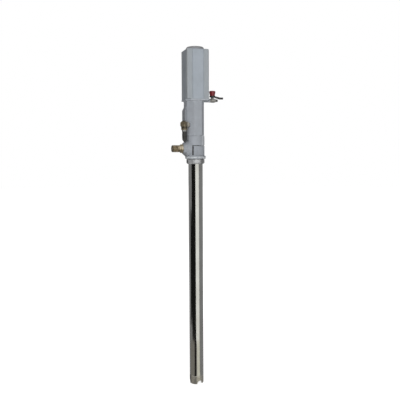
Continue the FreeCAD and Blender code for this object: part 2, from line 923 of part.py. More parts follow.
def make_lock_screw():
    body = new_body("lock_screw", z=head_top - s.lock_screw_drop)
    start = s.joint_diameter / 2
    radius = s.lock_screw_diameter / 2
    turned(body, [
        (start, 0),
        (start, radius),
        (s.head_diameter / 2 - s.edge_break, radius),
        (s.head_diameter / 2 - s.edge_break, 0),
    ], axis="H_Axis")


# Motor body: the casting that carries the air motor and holds the reversing valve


def under_plate(edge):
    """True for an edge where the column meets the plate."""
    box = edge.BoundBox
    level = abs(box.ZMin - plate_bottom.number) + abs(box.ZMax - plate_bottom.number) < 0.01
    return level and box.YMax < cover_half.number - 1 and box.YMin > 1 - cover_half.number


def make_motor_body():
    body = new_body("motor_body")
    back = s.column_half_depth
    column = new_sketch(body, "XY_Plane", lift=head_top)
    add_outline(column, [
        (-s.column_left, -(back - s.column_chamfer)),
        (-(s.column_left - s.column_chamfer), -back),
        (s.column_right - s.column_bevel, -back),
        (s.column_right, -(back - s.column_bevel)),
        (s.column_right, back - s.column_bevel),
        (s.column_right - s.column_bevel, back),
        (-s.column_left, back),
    ])
    extruded(body, column, s.column_height)
    eased(body, s.column_round, upright)
    half = cover_half
    plate = new_sketch(body, "XY_Plane", lift=plate_bottom)
    add_outline(plate, [
        (-half, -(half - s.plate_chamfer)),
        (-(half - s.plate_chamfer), -half),
        (half, -half),
        (half, half),
        (-half, half),
    ])
    extruded(body, plate, s.plate_thickness)
    eased(body, s.plate_fillet, under_plate)
    chest = new_sketch(body, "XZ_Plane", lift=s.chest_front)
    inside = s.column_left - s.chest_slope
    add_outline(chest, [
        (-inside, chest_bottom),
        (-s.column_left, chest_bottom),
        (-cover_half, chest_bottom + s.chest_slope),
        (-cover_half, chest_top - s.chest_slope * 2),
        (-s.column_left, chest_top),
        (-inside, chest_top),
    ])
    extruded(body, chest, s.chest_front + back, back=True)
    root = s.exhaust_boss_root + s.exhaust_boss_length
    exhaust = new_sketch(body, "XZ_Plane", lift=port_face - root, turn=-PORT_TURN)
    add_circle(exhaust, s.exhaust_boss_diameter / 2, port_side, exhaust_level)
    extruded(body, exhaust, root)
    head = s.head_diameter / 2
    reach = cover_half * 2
    turned(body, [
        (head, head_top),
        (reach, head_top),
        (reach, head_top + reach - head),
    ], kind="Groove")
    spigot = new_sketch(body, "XY_Plane", lift=joint_floor)
    add_circle(spigot, s.joint_diameter / 2 - s.thread_gap)
    extruded(body, spigot, s.joint_depth)
    boss = new_sketch(body, "YZ_Plane", lift=s.inlet_boss_root)
    add_circle(boss, s.inlet_boss_diameter / 2, 0, inlet_level)
    extruded(body, boss, inlet_boss_face - s.inlet_boss_root)
    clear = half + s.seat_gap
    above = new_sketch(body, "XY_Plane", lift=plate_top)
    add_outline(above, square_points(clear))
    extruded(body, above, s.inlet_boss_diameter, kind="Pocket", back=True)
    cut_motor_body(body)


def cut_motor_body(body):
    """The chamber, the rod's way, the reversing valve's bore and the three ports."""
    chamber_top = plate_top - s.body_bore_roof
    chamber = new_sketch(body, "XY_Plane", lift=joint_floor)
    add_circle(chamber, s.body_bore / 2)
    extruded(body, chamber, chamber_top - joint_floor, kind="Pocket", back=True)
    rod_way = new_sketch(body, "XY_Plane", lift=plate_top)
    add_circle(rod_way, s.rod_clearance_bore / 2)
    extruded(body, rod_way, s.body_bore_roof, kind="Pocket")
    thread = new_sketch(body, "XY_Plane", lift=plate_top)
    add_circle(thread, s.air_head_thread / 2 + s.thread_gap)
    extruded(body, thread, s.air_head_thread_length + s.seat_gap, kind="Pocket")
    valve = new_sketch(body, "XY_Plane", lift=plate_top)
    add_circle(valve, s.valve_bore / 2, -s.valve_x, s.valve_y)
    extruded(body, valve, plate_top - spool_floor, kind="Pocket")
    port = new_sketch(body, "XZ_Plane", lift=port_face, turn=-PORT_TURN)
    add_circle(port, s.exhaust_thread / 2 + s.thread_gap, port_side, exhaust_level)
    extruded(body, port, s.exhaust_depth, kind="Pocket")
    drilling = new_sketch(body, "XZ_Plane", lift=-drilling_y)
    add_circle(drilling, s.exhaust_drilling / 2, -s.valve_x, exhaust_level)
    extruded(body, drilling, s.valve_y - drilling_y, kind="Pocket")
    inlet = new_sketch(body, "YZ_Plane", lift=inlet_boss_face)
    add_circle(inlet, s.inlet_thread / 2 + s.thread_gap, 0, inlet_level)
    extruded(body, inlet, s.inlet_depth, kind="Pocket")


def make_valve_spool():
    body = new_body("valve_spool", x=-s.valve_x, y=s.valve_y)
    land = s.valve_bore / 2 - s.spool_land_gap
    groove = land - s.spool_seal_depth
    waist = s.spool_waist / 2
    points = [(0, spool_bottom)]
    for place in range(3):
        low = spool_bottom + spool_pitch * place
        seal_low = low + (s.spool_land - s.spool_seal_height) / 2
        seal_top = seal_low + s.spool_seal_height
        if place > 0:
            points.append((waist, low))
        points += [(land, low), (land, seal_low), (groove, seal_low)]
        points += [(groove, seal_top), (land, seal_top), (land, low + s.spool_land)]
        if place < 2:
            points.append((waist, low + s.spool_land))
    turned(body, points + [(0, spool_bottom + s.spool_length)])


def make_spool_seals():
    body = new_body("spool_seals", x=-s.valve_x, y=s.valve_y)
    inner = s.valve_bore / 2 - s.spool_land_gap - s.spool_seal_depth
    for place in range(3):
        low = spool_bottom + spool_pitch * place + (s.spool_land - s.spool_seal_height) / 2
        bored_ring(body, inner, s.valve_bore / 2 - s.running_gap, low, low + s.spool_seal_height)


def make_spool_plug():
    body = new_body("spool_plug", x=-s.valve_x, y=s.valve_y)
    sketch = new_sketch(body, "XY_Plane", lift=plate_top - s.plug_length)
    add_circle(sketch, s.valve_bore / 2 - s.thread_gap)
    extruded(body, sketch, s.plug_length)


# Exhaust elbow and silencer


def make_exhaust_elbow():
    body = new_body("exhaust_elbow", x=port_x, y=port_y, z=exhaust_level, turn=180 + PORT_TURN)
    hex_start = s.elbow_reach - s.elbow_hex_length / 2
    hex_end = s.elbow_reach + s.elbow_hex_length / 2
    turned(body, [
        (-s.exhaust_depth, 0),
        (-s.exhaust_depth, s.exhaust_thread / 2),
        (0, s.exhaust_thread / 2),
        (0, s.elbow_collar_diameter / 2),
        (s.elbow_collar_length, s.elbow_collar_diameter / 2),
        (s.elbow_collar_length + s.edge_break * 2, s.elbow_neck_diameter / 2),
        (hex_start, s.elbow_neck_diameter / 2),
        (hex_start, 0),
    ], axis="H_Axis")
    hex_sketch = new_sketch(body, "YZ_Plane", lift=hex_start)
    add_outline(hex_sketch, hexagon(s.elbow_hex_width, point_up=True))
    extruded(body, hex_sketch, s.elbow_hex_length)
    corner = s.elbow_hex_width
    flat = s.elbow_hex_width / 2
    for end, side in ((hex_start, 1), (hex_end, -1)):
        turned(body, [
            (end, flat - s.edge_break),
            (end, corner),
            (end + s.elbow_hex_bevel * side * 2, corner),
            (end + s.elbow_hex_bevel * side, flat + s.elbow_hex_bevel),
        ], axis="H_Axis", kind="Groove")
    spout = new_sketch(body, "XY_Plane")
    add_circle(spout, s.elbow_spout_diameter / 2, s.elbow_reach, 0)
    extruded(body, spout, s.elbow_spout_length, back=True)
    way = new_sketch(body, "YZ_Plane", lift=-s.exhaust_depth)
    add_circle(way, s.elbow_bore / 2)
    extruded(body, way, s.exhaust_depth + s.elbow_reach, kind="Pocket", back=True)
    down = new_sketch(body, "XY_Plane", lift=-s.elbow_spout_length)
    add_circle(down, s.silencer_thread / 2 + s.thread_gap, s.elbow_reach, 0)
    extruded(body, down, s.elbow_spout_length, kind="Pocket", back=True)


def silencer_place():
    """The spout's axis, in the part's frame."""
    along = s.elbow_reach * HALF_DIAGONAL
    return port_x - along, port_y - along, exhaust_level - s.elbow_spout_length


def make_silencer_collar():
    x, y, z = silencer_place()
    body = new_body("silencer_collar", x=x, y=y, z=z, turn=PORT_TURN)
    sketch = new_sketch(body, "XY_Plane", lift=-s.silencer_hex_height)
    add_outline(sketch, hexagon(s.silencer_hex_width))
    add_circle(sketch, s.silencer_bore / 2)
    extruded(body, sketch, s.silencer_hex_height)
    bored_ring(body, s.silencer_bore / 2, s.silencer_thread / 2, 0, s.silencer_thread_length)


def make_silencer():
    x, y, z = silencer_place()
    body = new_body("silencer", x=x, y=y, z=z)
    radius = s.silencer_diameter / 2
    top = -s.silencer_hex_height
    low = top - s.silencer_length
    bevel = radius / 3
    turned(body, [
        (s.silencer_bore / 2, top),
        (radius - s.edge_break, top),
        (radius, top - s.edge_break),
        (radius, low + bevel * 3),
        (radius - bevel, low + bevel),
        (radius - bevel * 2, low),
        (0, low),
        (0, low + s.silencer_bore / 2),
        (s.silencer_bore / 2, low + s.silencer_bore),
    ])
    for place in range(1, 6):
        level = top - s.silencer_groove_pitch * place
        turned(body, [
            (radius - s.silencer_groove_depth, level),
            (radius * 2, level),
            (radius * 2, level + s.silencer_groove_height),
            (radius - s.silencer_groove_depth, level + s.silencer_groove_height),
        ], kind="Groove")


# Air cylinder with its heads, rods and piston


def head_block(body, level):
    """The square block of a cylinder head, with bevelled corners."""
    sketch = new_sketch(body, "XY_Plane", lift=level)
    add_outline(sketch, square_points(air_head_half))
    extruded(body, sketch, s.air_head_thickness)
    eased(body, s.air_head_bevel, upright, kind="Chamfer")


def tie_rod_holes(body, level, depth, radius):
    """Four holes for the tie rods, cut downwards from the level."""
    sketch = new_sketch(body, "XY_Plane", lift=level)
    for x, y in square_points(tie_rod_offset):
        add_circle(sketch, radius, x, y)
    extruded(body, sketch, depth, kind="Pocket")


def make_lower_head():
    body = new_body("lower_head")
    head_block(body, plate_top)
    spigot = new_sketch(body, "XY_Plane", lift=low_head_top)
    add_circle(spigot, air_bore_radius - s.sleeve_gap)
    extruded(body, spigot, s.air_head_spigot)
    thread = new_sketch(body, "XY_Plane", lift=plate_top)
    add_circle(thread, s.air_head_thread / 2)
    extruded(body, thread, s.air_head_thread_length, back=True)
    way = new_sketch(body, "XY_Plane", lift=low_spigot_top)
    add_circle(way, rod_hole_radius)
    depth = s.air_head_thread_length + s.air_head_thickness + s.air_head_spigot
    extruded(body, way, depth, kind="Pocket")
    housing = new_sketch(body, "XY_Plane", lift=plate_top - s.air_head_thread_length)
    add_circle(housing, s.seal_housing_diameter / 2)
    extruded(body, housing, s.seal_housing_depth, kind="Pocket", back=True)
    tie_rod_holes(body, low_head_top, s.tie_rod_depth + s.seat_gap, s.tie_rod_diameter / 2 + s.thread_gap)


def make_rod_seal():
    body = new_body("rod_seal")
    low = plate_top - s.air_head_thread_length
    outer = s.seal_housing_diameter / 2 - s.thread_gap
    bored_ring(body, rod_hole_radius, outer, low, low + s.seal_housing_depth)


def make_upper_head():
    body = new_body("upper_head")
    head_block(body, high_head_bottom)
    spigot = new_sketch(body, "XY_Plane", lift=high_head_bottom)
    add_circle(spigot, air_bore_radius - s.sleeve_gap)
    extruded(body, spigot, s.air_head_spigot, back=True)
    recess = new_sketch(body, "XY_Plane", lift=high_spigot_bottom)
    add_circle(recess, s.head_recess_diameter / 2)
    extruded(body, recess, s.head_recess_depth, kind="Pocket", back=True)
    stud = new_sketch(body, "XY_Plane", lift=high_head_top)
    add_circle(stud, s.stud_diameter / 2 + s.thread_gap)
    extruded(body, stud, s.stud_depth, kind="Pocket")
    tie_rod_holes(body, high_head_top, s.air_head_thickness, s.tie_rod_diameter / 2 + s.thread_gap * 2)


def make_air_cylinder():
    body = new_body("air_cylinder")
    bored_ring(body, air_bore_radius, air_bore_radius + s.cylinder_wall, low_head_top, high_head_bottom)


def make_bumpers():
    for label, low in (("lower_bumper", low_spigot_top), ("upper_bumper", high_bumper_bottom)):
        body = new_body(label)
        bored_ring(body, s.bumper_inner / 2, s.bumper_outer / 2, low, low + s.bumper_height)


def make_tie_rods():
    body = new_body("tie_rods")
    low = low_head_top - s.tie_rod_depth
    sketch = new_sketch(body, "XY_Plane", lift=low)
    for x, y in square_points(tie_rod_offset):
        add_circle(sketch, s.tie_rod_diameter / 2, x, y)
    extruded(body, sketch, high_head_top + s.tie_nut_height + s.tie_rod_end - low)


def make_tie_rod_nuts():
    body = new_body("tie_rod_nuts")
    sketch = new_sketch(body, "XY_Plane", lift=high_head_top)
    for x, y in square_points(tie_rod_offset):
        add_outline(sketch, [(x + side, y + up) for side, up in hexagon(s.tie_nut_width)])
        add_circle(sketch, s.tie_rod_diameter / 2 + s.thread_gap, x, y)
    extruded(body, sketch, s.tie_nut_height)


def make_air_piston():
    body = new_body("air_piston")
    outer = air_bore_radius - s.seat_gap
    seal_low = air_piston_bottom + (s.air_piston_thickness - s.air_seal_height) / 2
    turned(body, [
        (rod_tip_radius + s.thread_gap, air_piston_bottom),
        (outer, air_piston_bottom),
        (outer, seal_low),
        (outer - s.air_seal_depth, seal_low),
        (outer - s.air_seal_depth, seal_low + s.air_seal_height),
        (outer, seal_low + s.air_seal_height),
        (outer, air_piston_top),
        (rod_tip_radius + s.thread_gap, air_piston_top),
    ])


def make_air_piston_seal():
    body = new_body("air_piston_seal")
    low = air_piston_bottom + (s.air_piston_thickness - s.air_seal_height) / 2
    inner = air_bore_radius - s.seat_gap - s.air_seal_depth
    bored_ring(body, inner, air_bore_radius - s.running_gap, low, low + s.air_seal_height)


def make_air_piston_nut():
    body = new_body("air_piston_nut")
    sketch = new_sketch(body, "XY_Plane", lift=air_piston_top)
    add_outline(sketch, hexagon(s.air_piston_nut_width))
    add_circle(sketch, rod_tip_radius + s.thread_gap)
    extruded(body, sketch, s.air_piston_nut_height)


# Cover of the air motor and the cap that holds it down


def make_motor_cover():
    body = new_body("motor_cover")
    half = cover_half
    shell = new_sketch(body, "XY_Plane", lift=plate_top)
    add_outline(shell, square_points(half))
    extruded(body, shell, cover_height)
    eased(body, s.cover_corner, upright)
    groove = new_sketch(body, "XY_Plane", lift=plate_top)
    for side in (-1, 1):
        inner = s.panel_half * side
        outer = (s.panel_half + s.panel_groove_width) * side
        add_outline(groove, [
            (half, inner),
            (half - s.panel_groove_depth, (inner + outer) / 2),
            (half, outer),
            (half + s.panel_groove_depth, (inner + outer) / 2),
        ])
    cut = extruded(body, groove, cover_height, kind="Pocket", back=True)
    repeated(body, cut, as_dim(4))
    rim = cover_top.number - 0.01
    eased(body, s.cover_bevel, lambda edge: edge.BoundBox.ZMin > rim, kind="Chamfer")
    hollow = new_sketch(body, "XY_Plane", lift=plate_top)
    add_outline(hollow, square_points(half - s.cover_wall))
    extruded(body, hollow, cover_height - s.cover_roof, kind="Pocket", back=True)
    hole = new_sketch(body, "XY_Plane", lift=cover_top)
    add_circle(hole, s.cover_hole / 2)
    extruded(body, hole, s.cover_roof, kind="Pocket")


def make_cap_stud():
    body = new_body("cap_stud")
    sketch = new_sketch(body, "XY_Plane", lift=high_head_top - s.stud_depth)
    add_circle(sketch, s.stud_diameter / 2)
    extruded(body, sketch, cover_top + s.stud_rise - high_head_top + s.stud_depth)


def make_cover_cap():
    body = new_body("cover_cap")
    rim = s.cap_diameter / 2
    skirt = s.cover_hole / 2 - s.sleeve_gap
    bore = s.stud_diameter / 2 + s.thread_gap
    cap_top = cover_top + s.cap_height
    turned(body, [
        (bore, cover_top - s.cap_skirt),
        (skirt, cover_top - s.cap_skirt),
        (skirt, cover_top),
        (rim, cover_top),
        (rim, cap_top - s.cap_bevel),
        (rim - s.cap_bevel, cap_top),
        (0, cap_top),
        (0, cover_top + s.stud_rise + s.seat_gap),
        (bore, cover_top + s.stud_rise + s.seat_gap),
    ])


# Air shut-off valve with its lever


def make_inlet_valve_body():
    body = new_body("inlet_valve_body", x=lever_x, z=inlet_level)
    housing = s.valve_housing_diameter / 2
    way = s.valve_way / 2
    thread = s.inlet_thread / 2
    turned(body, [
        (valve_boss_face - s.inlet_depth + s.edge_break, way),
        (valve_boss_face - s.inlet_depth + s.edge_break, thread),
        (valve_boss_face, thread),
        (valve_boss_face, housing - s.edge_break),
        (-valve_seat_end, housing - s.edge_break),
        (-valve_seat_end + s.edge_break, housing),
        (valve_seat_end, housing),
        (valve_seat_end, way),
    ], axis="H_Axis")
    nut = new_sketch(body, "YZ_Plane", lift=valve_boss_face)
    add_outline(nut, hexagon(s.valve_hex_width))
    add_circle(nut, way + s.edge_break)
    extruded(body, nut, s.valve_hex_length)
    boss = new_sketch(body, "XY_Plane")
    add_circle(boss, s.stem_boss_diameter / 2)
    extruded(body, boss, housing + s.stem_boss_rise)
    turned(body, [
        (-valve_seat_end, 0),
        (-valve_seat_end, valve_cavity),
        (valve_seat_end, valve_cavity),
        (valve_seat_end, 0),
    ], axis="H_Axis", kind="Groove")
    stem = new_sketch(body, "XY_Plane")
    add_circle(stem, s.stem_diameter / 2 + s.running_gap)
    extruded(body, stem, housing + s.stem_boss_rise, kind="Pocket", back=True)


def make_inlet_valve_end():
    body = new_body("inlet_valve_end", x=lever_x, z=inlet_level)
    tip = valve_seat_end + s.valve_end_length
    neck = valve_seat_end + s.valve_end_hex_length
    way = s.valve_way / 2
    thread = s.inlet_thread / 2
    turned(body, [
        (valve_seat_end, way),
        (valve_seat_end, thread),
        (neck, thread),
        (neck, thread - s.edge_break),
        (neck + s.valve_end_neck, thread - s.edge_break),
        (neck + s.valve_end_neck, thread),
        (tip - s.edge_break, thread),
        (tip, thread - s.edge_break),
        (tip, way),
    ], axis="H_Axis")
    nut = new_sketch(body, "YZ_Plane", lift=valve_seat_end)
    add_outline(nut, hexagon(s.valve_hex_width))
    add_circle(nut, way + s.edge_break)
    extruded(body, nut, s.valve_end_hex_length)


def make_valve_seats():
    body = new_body("valve_seats", x=lever_x, z=inlet_level)
    inner = s.valve_seat_bore / 2
    outer = valve_cavity - s.thread_gap
    for side in (-1, 1):
        turned(body, [
            (valve_seat_end * side, inner),
            (valve_seat_end * side, outer),
            (valve_seat_start * side, outer),
            (valve_seat_start * side, inner),
        ], axis="H_Axis")


def make_valve_ball():
    whole = doc.addObject("Part::Sphere", "valve_ball_whole")
    whole.setExpression("Radius", valve_ball_radius.text)
    way = doc.addObject("Part::Cylinder", "valve_ball_way")
    way.Placement = Placement(Vector(0, 0, 0), Rotation(Vector(0, 1, 0), 90))
    way.setExpression("Radius", (s.valve_way / 2).text)
    way.setExpression("Height", s.valve_ball_diameter.text)
    way.setExpression("Placement.Base.x", (-valve_ball_radius).text)
    socket = doc.addObject("Part::Cylinder", "valve_ball_socket")
    socket.setExpression("Radius", (s.stem_diameter / 2 + s.thread_gap).text)
    socket.setExpression("Height", valve_ball_radius.text)
    socket.setExpression("Placement.Base.z", s.ball_socket_rise.text)
    bored = doc.addObject("Part::Cut", "valve_ball_bored")
    bored.Base = whole
    bored.Tool = way
    ball = doc.addObject("Part::Cut", "valve_ball")
    ball.Label = "valve_ball"
    ball.Base = bored
    ball.Tool = socket
    ball.setExpression("Placement.Base.x", lever_x.text)
    ball.setExpression("Placement.Base.z", inlet_level.text)
    nodes.append(ball)


def make_valve_stem():
    body = new_body("valve_stem", x=lever_x, z=inlet_level)
    low = s.ball_socket_rise + s.thread_gap
    sketch = new_sketch(body, "XY_Plane", lift=low)
    add_circle(sketch, s.stem_diameter / 2)
    extruded(body, sketch, s.hub_lift + s.hub_height + s.lever_nut_height - low)


def make_stem_seal():
    body = new_body("stem_seal", x=lever_x, z=inlet_level)
    low = s.valve_housing_diameter / 2 + s.stem_boss_rise
    inner = s.stem_diameter / 2 + s.running_gap
    bored_ring(body, inner, s.stem_boss_diameter / 2 - s.edge_break, low, s.hub_lift - s.seat_gap)


def make_valve_lever():
    body = new_body("valve_lever", x=lever_x, z=inlet_level)
    hole = s.stem_diameter / 2 + s.thread_gap
    hub = new_sketch(body, "XY_Plane", lift=s.hub_lift)
    add_circle(hub, s.hub_diameter / 2)
    extruded(body, hub, s.hub_height)
    hub_top = s.hub_lift + s.hub_height
    end_top = hub_top - s.lever_drop
    arm = new_sketch(body, "XZ_Plane")
    middle = s.lever_reach * 0.66
    add_outline(arm, [
        (hole * 2, s.hub_lift),
        (hole * 2, hub_top),
        (middle, end_top),
        (s.lever_reach, end_top),
        (s.lever_reach, end_top - s.lever_thickness),
        (middle, end_top - s.lever_thickness),
    ])
    extruded(body, arm, s.lever_width, both=True)
    tip_x = SIZES["lever_reach"] - 0.5
    eased(body, s.lever_width * 0.45, lambda edge: upright(edge) and edge.BoundBox.XMin > tip_x)
    stem = new_sketch(body, "XY_Plane", lift=hub_top)
    add_circle(stem, hole)
    extruded(body, stem, s.hub_height, kind="Pocket")


def make_lever_nut():
    body = new_body("lever_nut", x=lever_x, z=inlet_level)
    sketch = new_sketch(body, "XY_Plane", lift=s.hub_lift + s.hub_height)
    add_outline(sketch, hexagon(s.lever_nut_width))
    add_circle(sketch, s.stem_diameter / 2 + s.thread_gap)
    extruded(body, sketch, s.lever_nut_height)


def make_lever_cap():
    body = new_body("lever_cap", x=lever_x, z=inlet_level)
    low = s.hub_lift + s.hub_height
    top = low + s.lever_cap_height
    recess = s.lever_cap_recess / 2
    turned(body, [
        (recess, low),
        (s.cap_low_diameter / 2, low),
        (s.cap_top_diameter / 2, top - s.lever_cap_round),
        (s.cap_top_diameter / 2 - s.lever_cap_round, top),
        (0, top),
        (0, low + s.lever_cap_recess_depth),
        (recess, low + s.lever_cap_recess_depth),
    ])


make_pump_tube()
make_tube_gasket()
make_collar_nut()
make_foot_cage()
make_priming_cylinder()
make_foot_valve_seat()
make_pump_cylinder()
make_cylinder_ring()
make_foot_valve_disc()
make_pump_piston()
make_pump_piston_seals()
make_piston_seat()
make_piston_ball()
make_connecting_rod()
make_rod_coupling()
make_motor_rod()
make_shovel_rod()
make_shovel_plate()
make_shovel_nut()
make_outlet_body()
make_outlet_nipple()
make_rod_packing()
make_gland_nut()
make_lock_screw()
make_motor_body()
make_valve_spool()
make_spool_seals()
make_spool_plug()
make_exhaust_elbow()
make_silencer_collar()
make_silencer()
make_lower_head()
make_rod_seal()
make_upper_head()
make_air_cylinder()
make_bumpers()
make_tie_rods()
make_tie_rod_nuts()
make_air_piston()
make_air_piston_seal()
make_air_piston_nut()
make_motor_cover()
make_cap_stud()
make_cover_cap()
make_inlet_valve_body()
make_inlet_valve_end()
make_valve_seats()
make_valve_ball()
make_valve_stem()
make_stem_seal()
make_valve_lever()
make_lever_nut()
make_lever_cap()
doc.recompute()

for item in doc.Objects:
    if "Invalid" in item.State or "Error" in item.State:
        raise RuntimeError(f"{item.Name} ({item.Label}) failed: {item.State}")

os.makedirs("parts", exist_ok=True)
for node in nodes:
    shape = node.Shape
    if shape.isNull() or not shape.isValid():
        raise RuntimeError(f"{node.Label} has no valid shape")
for node in nodes:
    box = node.Shape.BoundBox
    print(f"{node.Label:20s} solids {len(node.Shape.Solids)}  volume {node.Shape.Volume / 1000:9.2f} cm3  "
          f"z {box.ZMin:8.2f} to {box.ZMax:8.2f}")
    node.Shape.exportStep(f"parts/{node.Label}.step")
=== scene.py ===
# %% [markdown]
# # A drum grease pump, dressed in Blender
#
# An air-driven grease pump stands in a drum of grease. A square alloy cover
# hides the air cylinder, a cast column carries the air valve and the exhaust,
# the pump head below it has a brass outlet nipple, and a long polished tube
# reaches down to the slotted foot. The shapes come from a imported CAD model.
# This lesson gives them light, finishes and the small forms that solids leave
# out, such as screw threads.

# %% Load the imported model
import math

import bmesh
import bpy
from mathutils import Matrix, Vector


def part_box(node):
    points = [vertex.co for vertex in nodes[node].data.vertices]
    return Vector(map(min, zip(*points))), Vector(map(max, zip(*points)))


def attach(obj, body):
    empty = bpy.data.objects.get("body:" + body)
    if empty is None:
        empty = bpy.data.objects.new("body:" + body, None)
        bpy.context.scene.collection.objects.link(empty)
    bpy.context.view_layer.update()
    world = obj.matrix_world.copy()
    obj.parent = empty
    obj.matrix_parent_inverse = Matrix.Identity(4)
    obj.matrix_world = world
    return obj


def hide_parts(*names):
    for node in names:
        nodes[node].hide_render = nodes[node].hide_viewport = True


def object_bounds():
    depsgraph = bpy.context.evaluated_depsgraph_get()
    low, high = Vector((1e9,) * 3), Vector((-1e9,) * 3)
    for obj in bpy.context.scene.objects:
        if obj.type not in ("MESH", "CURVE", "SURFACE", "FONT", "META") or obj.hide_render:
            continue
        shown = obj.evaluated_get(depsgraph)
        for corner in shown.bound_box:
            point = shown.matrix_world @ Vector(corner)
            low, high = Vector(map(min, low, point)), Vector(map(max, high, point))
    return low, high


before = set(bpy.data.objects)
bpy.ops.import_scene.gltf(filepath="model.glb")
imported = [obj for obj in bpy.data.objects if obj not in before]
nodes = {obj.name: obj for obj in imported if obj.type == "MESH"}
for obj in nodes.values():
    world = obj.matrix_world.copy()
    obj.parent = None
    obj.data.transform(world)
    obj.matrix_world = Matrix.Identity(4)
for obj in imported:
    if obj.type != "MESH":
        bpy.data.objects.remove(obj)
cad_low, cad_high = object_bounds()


def in_mm(place):
    """A place in whole millimetres, for printing."""
    return [round(value * 1000) for value in place]


print("CAD nodes:", len(nodes))
print("CAD box, mm:", in_mm(cad_low), in_mm(cad_high))

# %% [markdown]
# ## The camera
#
# The photographer stood a little to the left of the pump, two metres away and
# level with the pump head, and looked slightly down. A camera can be placed by
# hand until it looks right, or be solved for from points that are known both on
# the object and in the picture. The second way was used here, so the numbers
# are not round. A new camera looks straight down, so it is rolled first, then
# tilted up until it looks a little below the horizon, and then panned.

# %% Place the camera
CAMERA_PLACE = Vector((-0.5431, -1.9171, 0.0429))
CAMERA_PAN = math.radians(-16.286)
CAMERA_TILT = math.radians(90 - 5.166)
CAMERA_ROLL = math.radians(-0.256)
LENS_LENGTH = 47.4
SENSOR_WIDTH = 36
VIEW_REACH = 60

lens = bpy.data.cameras.new("photo_camera")
lens.lens = LENS_LENGTH
lens.sensor_width = SENSOR_WIDTH
lens.clip_end = VIEW_REACH
camera = bpy.data.objects.new("photo_camera", lens)
camera.matrix_world = (
    Matrix.Translation(CAMERA_PLACE)
    @ Matrix.Rotation(CAMERA_PAN, 4, "Z")
    @ Matrix.Rotation(CAMERA_TILT, 4, "X")
    @ Matrix.Rotation(CAMERA_ROLL, 4, "Z")
)
bpy.context.scene.collection.objects.link(camera)
bpy.context.scene.camera = camera
bpy.context.scene.view_settings.view_transform = "Standard"
print("camera at", in_mm(CAMERA_PLACE), "mm, lens", LENS_LENGTH, "mm")

# %% [markdown]
# ## Small helpers for node trees
#
# Every finish in this lesson is a tree of nodes. Writing a tree with bare
# Blender calls takes five lines a node, so one helper adds a node, sets its
# values and joins its sockets. Sums, lengths, ranges and mixes have helpers of
# their own, which take sockets and plain values alike. Shaders want colours as
# amounts of light, and the last helper gets those from the values that one
# reads on a screen.

# %% Helpers that add and join nodes


def add_node(tree, kind, inputs=None, **settings):
    """A new node of this kind, with its inputs set or joined to sockets."""
    made = tree.nodes.new(kind)
    for name, value in settings.items():
        setattr(made, name, value)
    for name, value in (inputs or {}).items():
        if isinstance(value, bpy.types.NodeSocket):
            tree.links.new(value, made.inputs[name])
        else:
            made.inputs[name].default_value = value
    return made


def reckon(tree, operation, first, second):
    """The result of one sum on two values."""
    return add_node(tree, "ShaderNodeMath", {0: first, 1: second}, operation=operation).outputs[0]


def times(tree, first, second):
    """Two values multiplied."""
    return reckon(tree, "MULTIPLY", first, second)


def plus(tree, first, second):
    """Two values added."""
    return reckon(tree, "ADD", first, second)


def less(tree, first, second):
    """The first value minus the second."""
    return reckon(tree, "SUBTRACT", first, second)


def bend(tree, operation, *vectors):
    """The result of one sum on one or two vectors."""
    return add_node(
        tree, "ShaderNodeVectorMath", dict(enumerate(vectors)), operation=operation,
    ).outputs["Vector"]


def length_of(tree, vector):
    """A vector's length."""
    return add_node(tree, "ShaderNodeVectorMath", {0: vector}, operation="LENGTH").outputs["Value"]


def split(tree, vector):
    """A vector's X, Y and Z."""
    return add_node(tree, "ShaderNodeSeparateXYZ", {"Vector": vector}).outputs


def between(tree, value, low, high, to_low=0.0, to_high=1.0):
    """The value stretched so that low becomes to_low and high becomes to_high."""
    return add_node(tree, "ShaderNodeMapRange", {
        "Value": value,
        "From Min": low,
        "From Max": high,
        "To Min": to_low,
        "To Max": to_high,
    }).outputs["Result"]


# The Mix node's sockets for colours, by number.
FIRST_COLOR, SECOND_COLOR, MIXED_COLOR = 6, 7, 2


def mixed(tree, share, first, second):
    """A colour between two colours."""
    return add_node(tree, "ShaderNodeMix", {
        "Factor": share,
        FIRST_COLOR: first,
        SECOND_COLOR: second,
    }, data_type="RGBA").outputs[MIXED_COLOR]


# A screen's values turn into light by a straight line when dark, or by a curve.
DARK_END, DARK_SLOPE, CURVE_SHIFT, CURVE_POWER = 0.04045, 12.92, 0.055, 2.4


def linear(red, green, blue):
    """A colour on a screen, 0 to 255, turned into light values."""
    values = []
    for part in (red, green, blue):
        share = part / 255
        if share <= DARK_END:
            values.append(share / DARK_SLOPE)
        else:
            values.append(((share + CURVE_SHIFT) / (1 + CURVE_SHIFT)) ** CURVE_POWER)
    return (*values, 1.0)


print("mid grey 128 is", round(linear(128, 128, 128)[0], 3), "in light")

# %% [markdown]
# ## The white surround
#
# A cut-out product picture has a white ground. More light would bleach the
# pump, so the world and the floor ask Light Path which ray looks at them. Rays
# from the camera, and rays that mirror or pass through something, find white.
# Rays that only carry light find a weak, slightly warm grey, so the light on
# the pump stays at a plain level.

# %% Make the world


def bare_tree(owner):
    """The emptied node tree of a material or a world."""
    owner.use_nodes = True
    owner.node_tree.nodes.clear()
    return owner.node_tree


def seen_directly(tree):
    """1 for camera, mirror and see-through rays, 0 for rays that carry light."""
    path = add_node(tree, "ShaderNodeLightPath").outputs
    seen = reckon(tree, "MAXIMUM", path["Is Camera Ray"], path["Is Glossy Ray"])
    return reckon(tree, "MAXIMUM", seen, path["Is Transmission Ray"])


SOFT_LEVEL = 0.14
SOFT_COLOR = (1.0, 0.965, 0.92, 1)
FULL_WHITE = (1, 1, 1, 1)

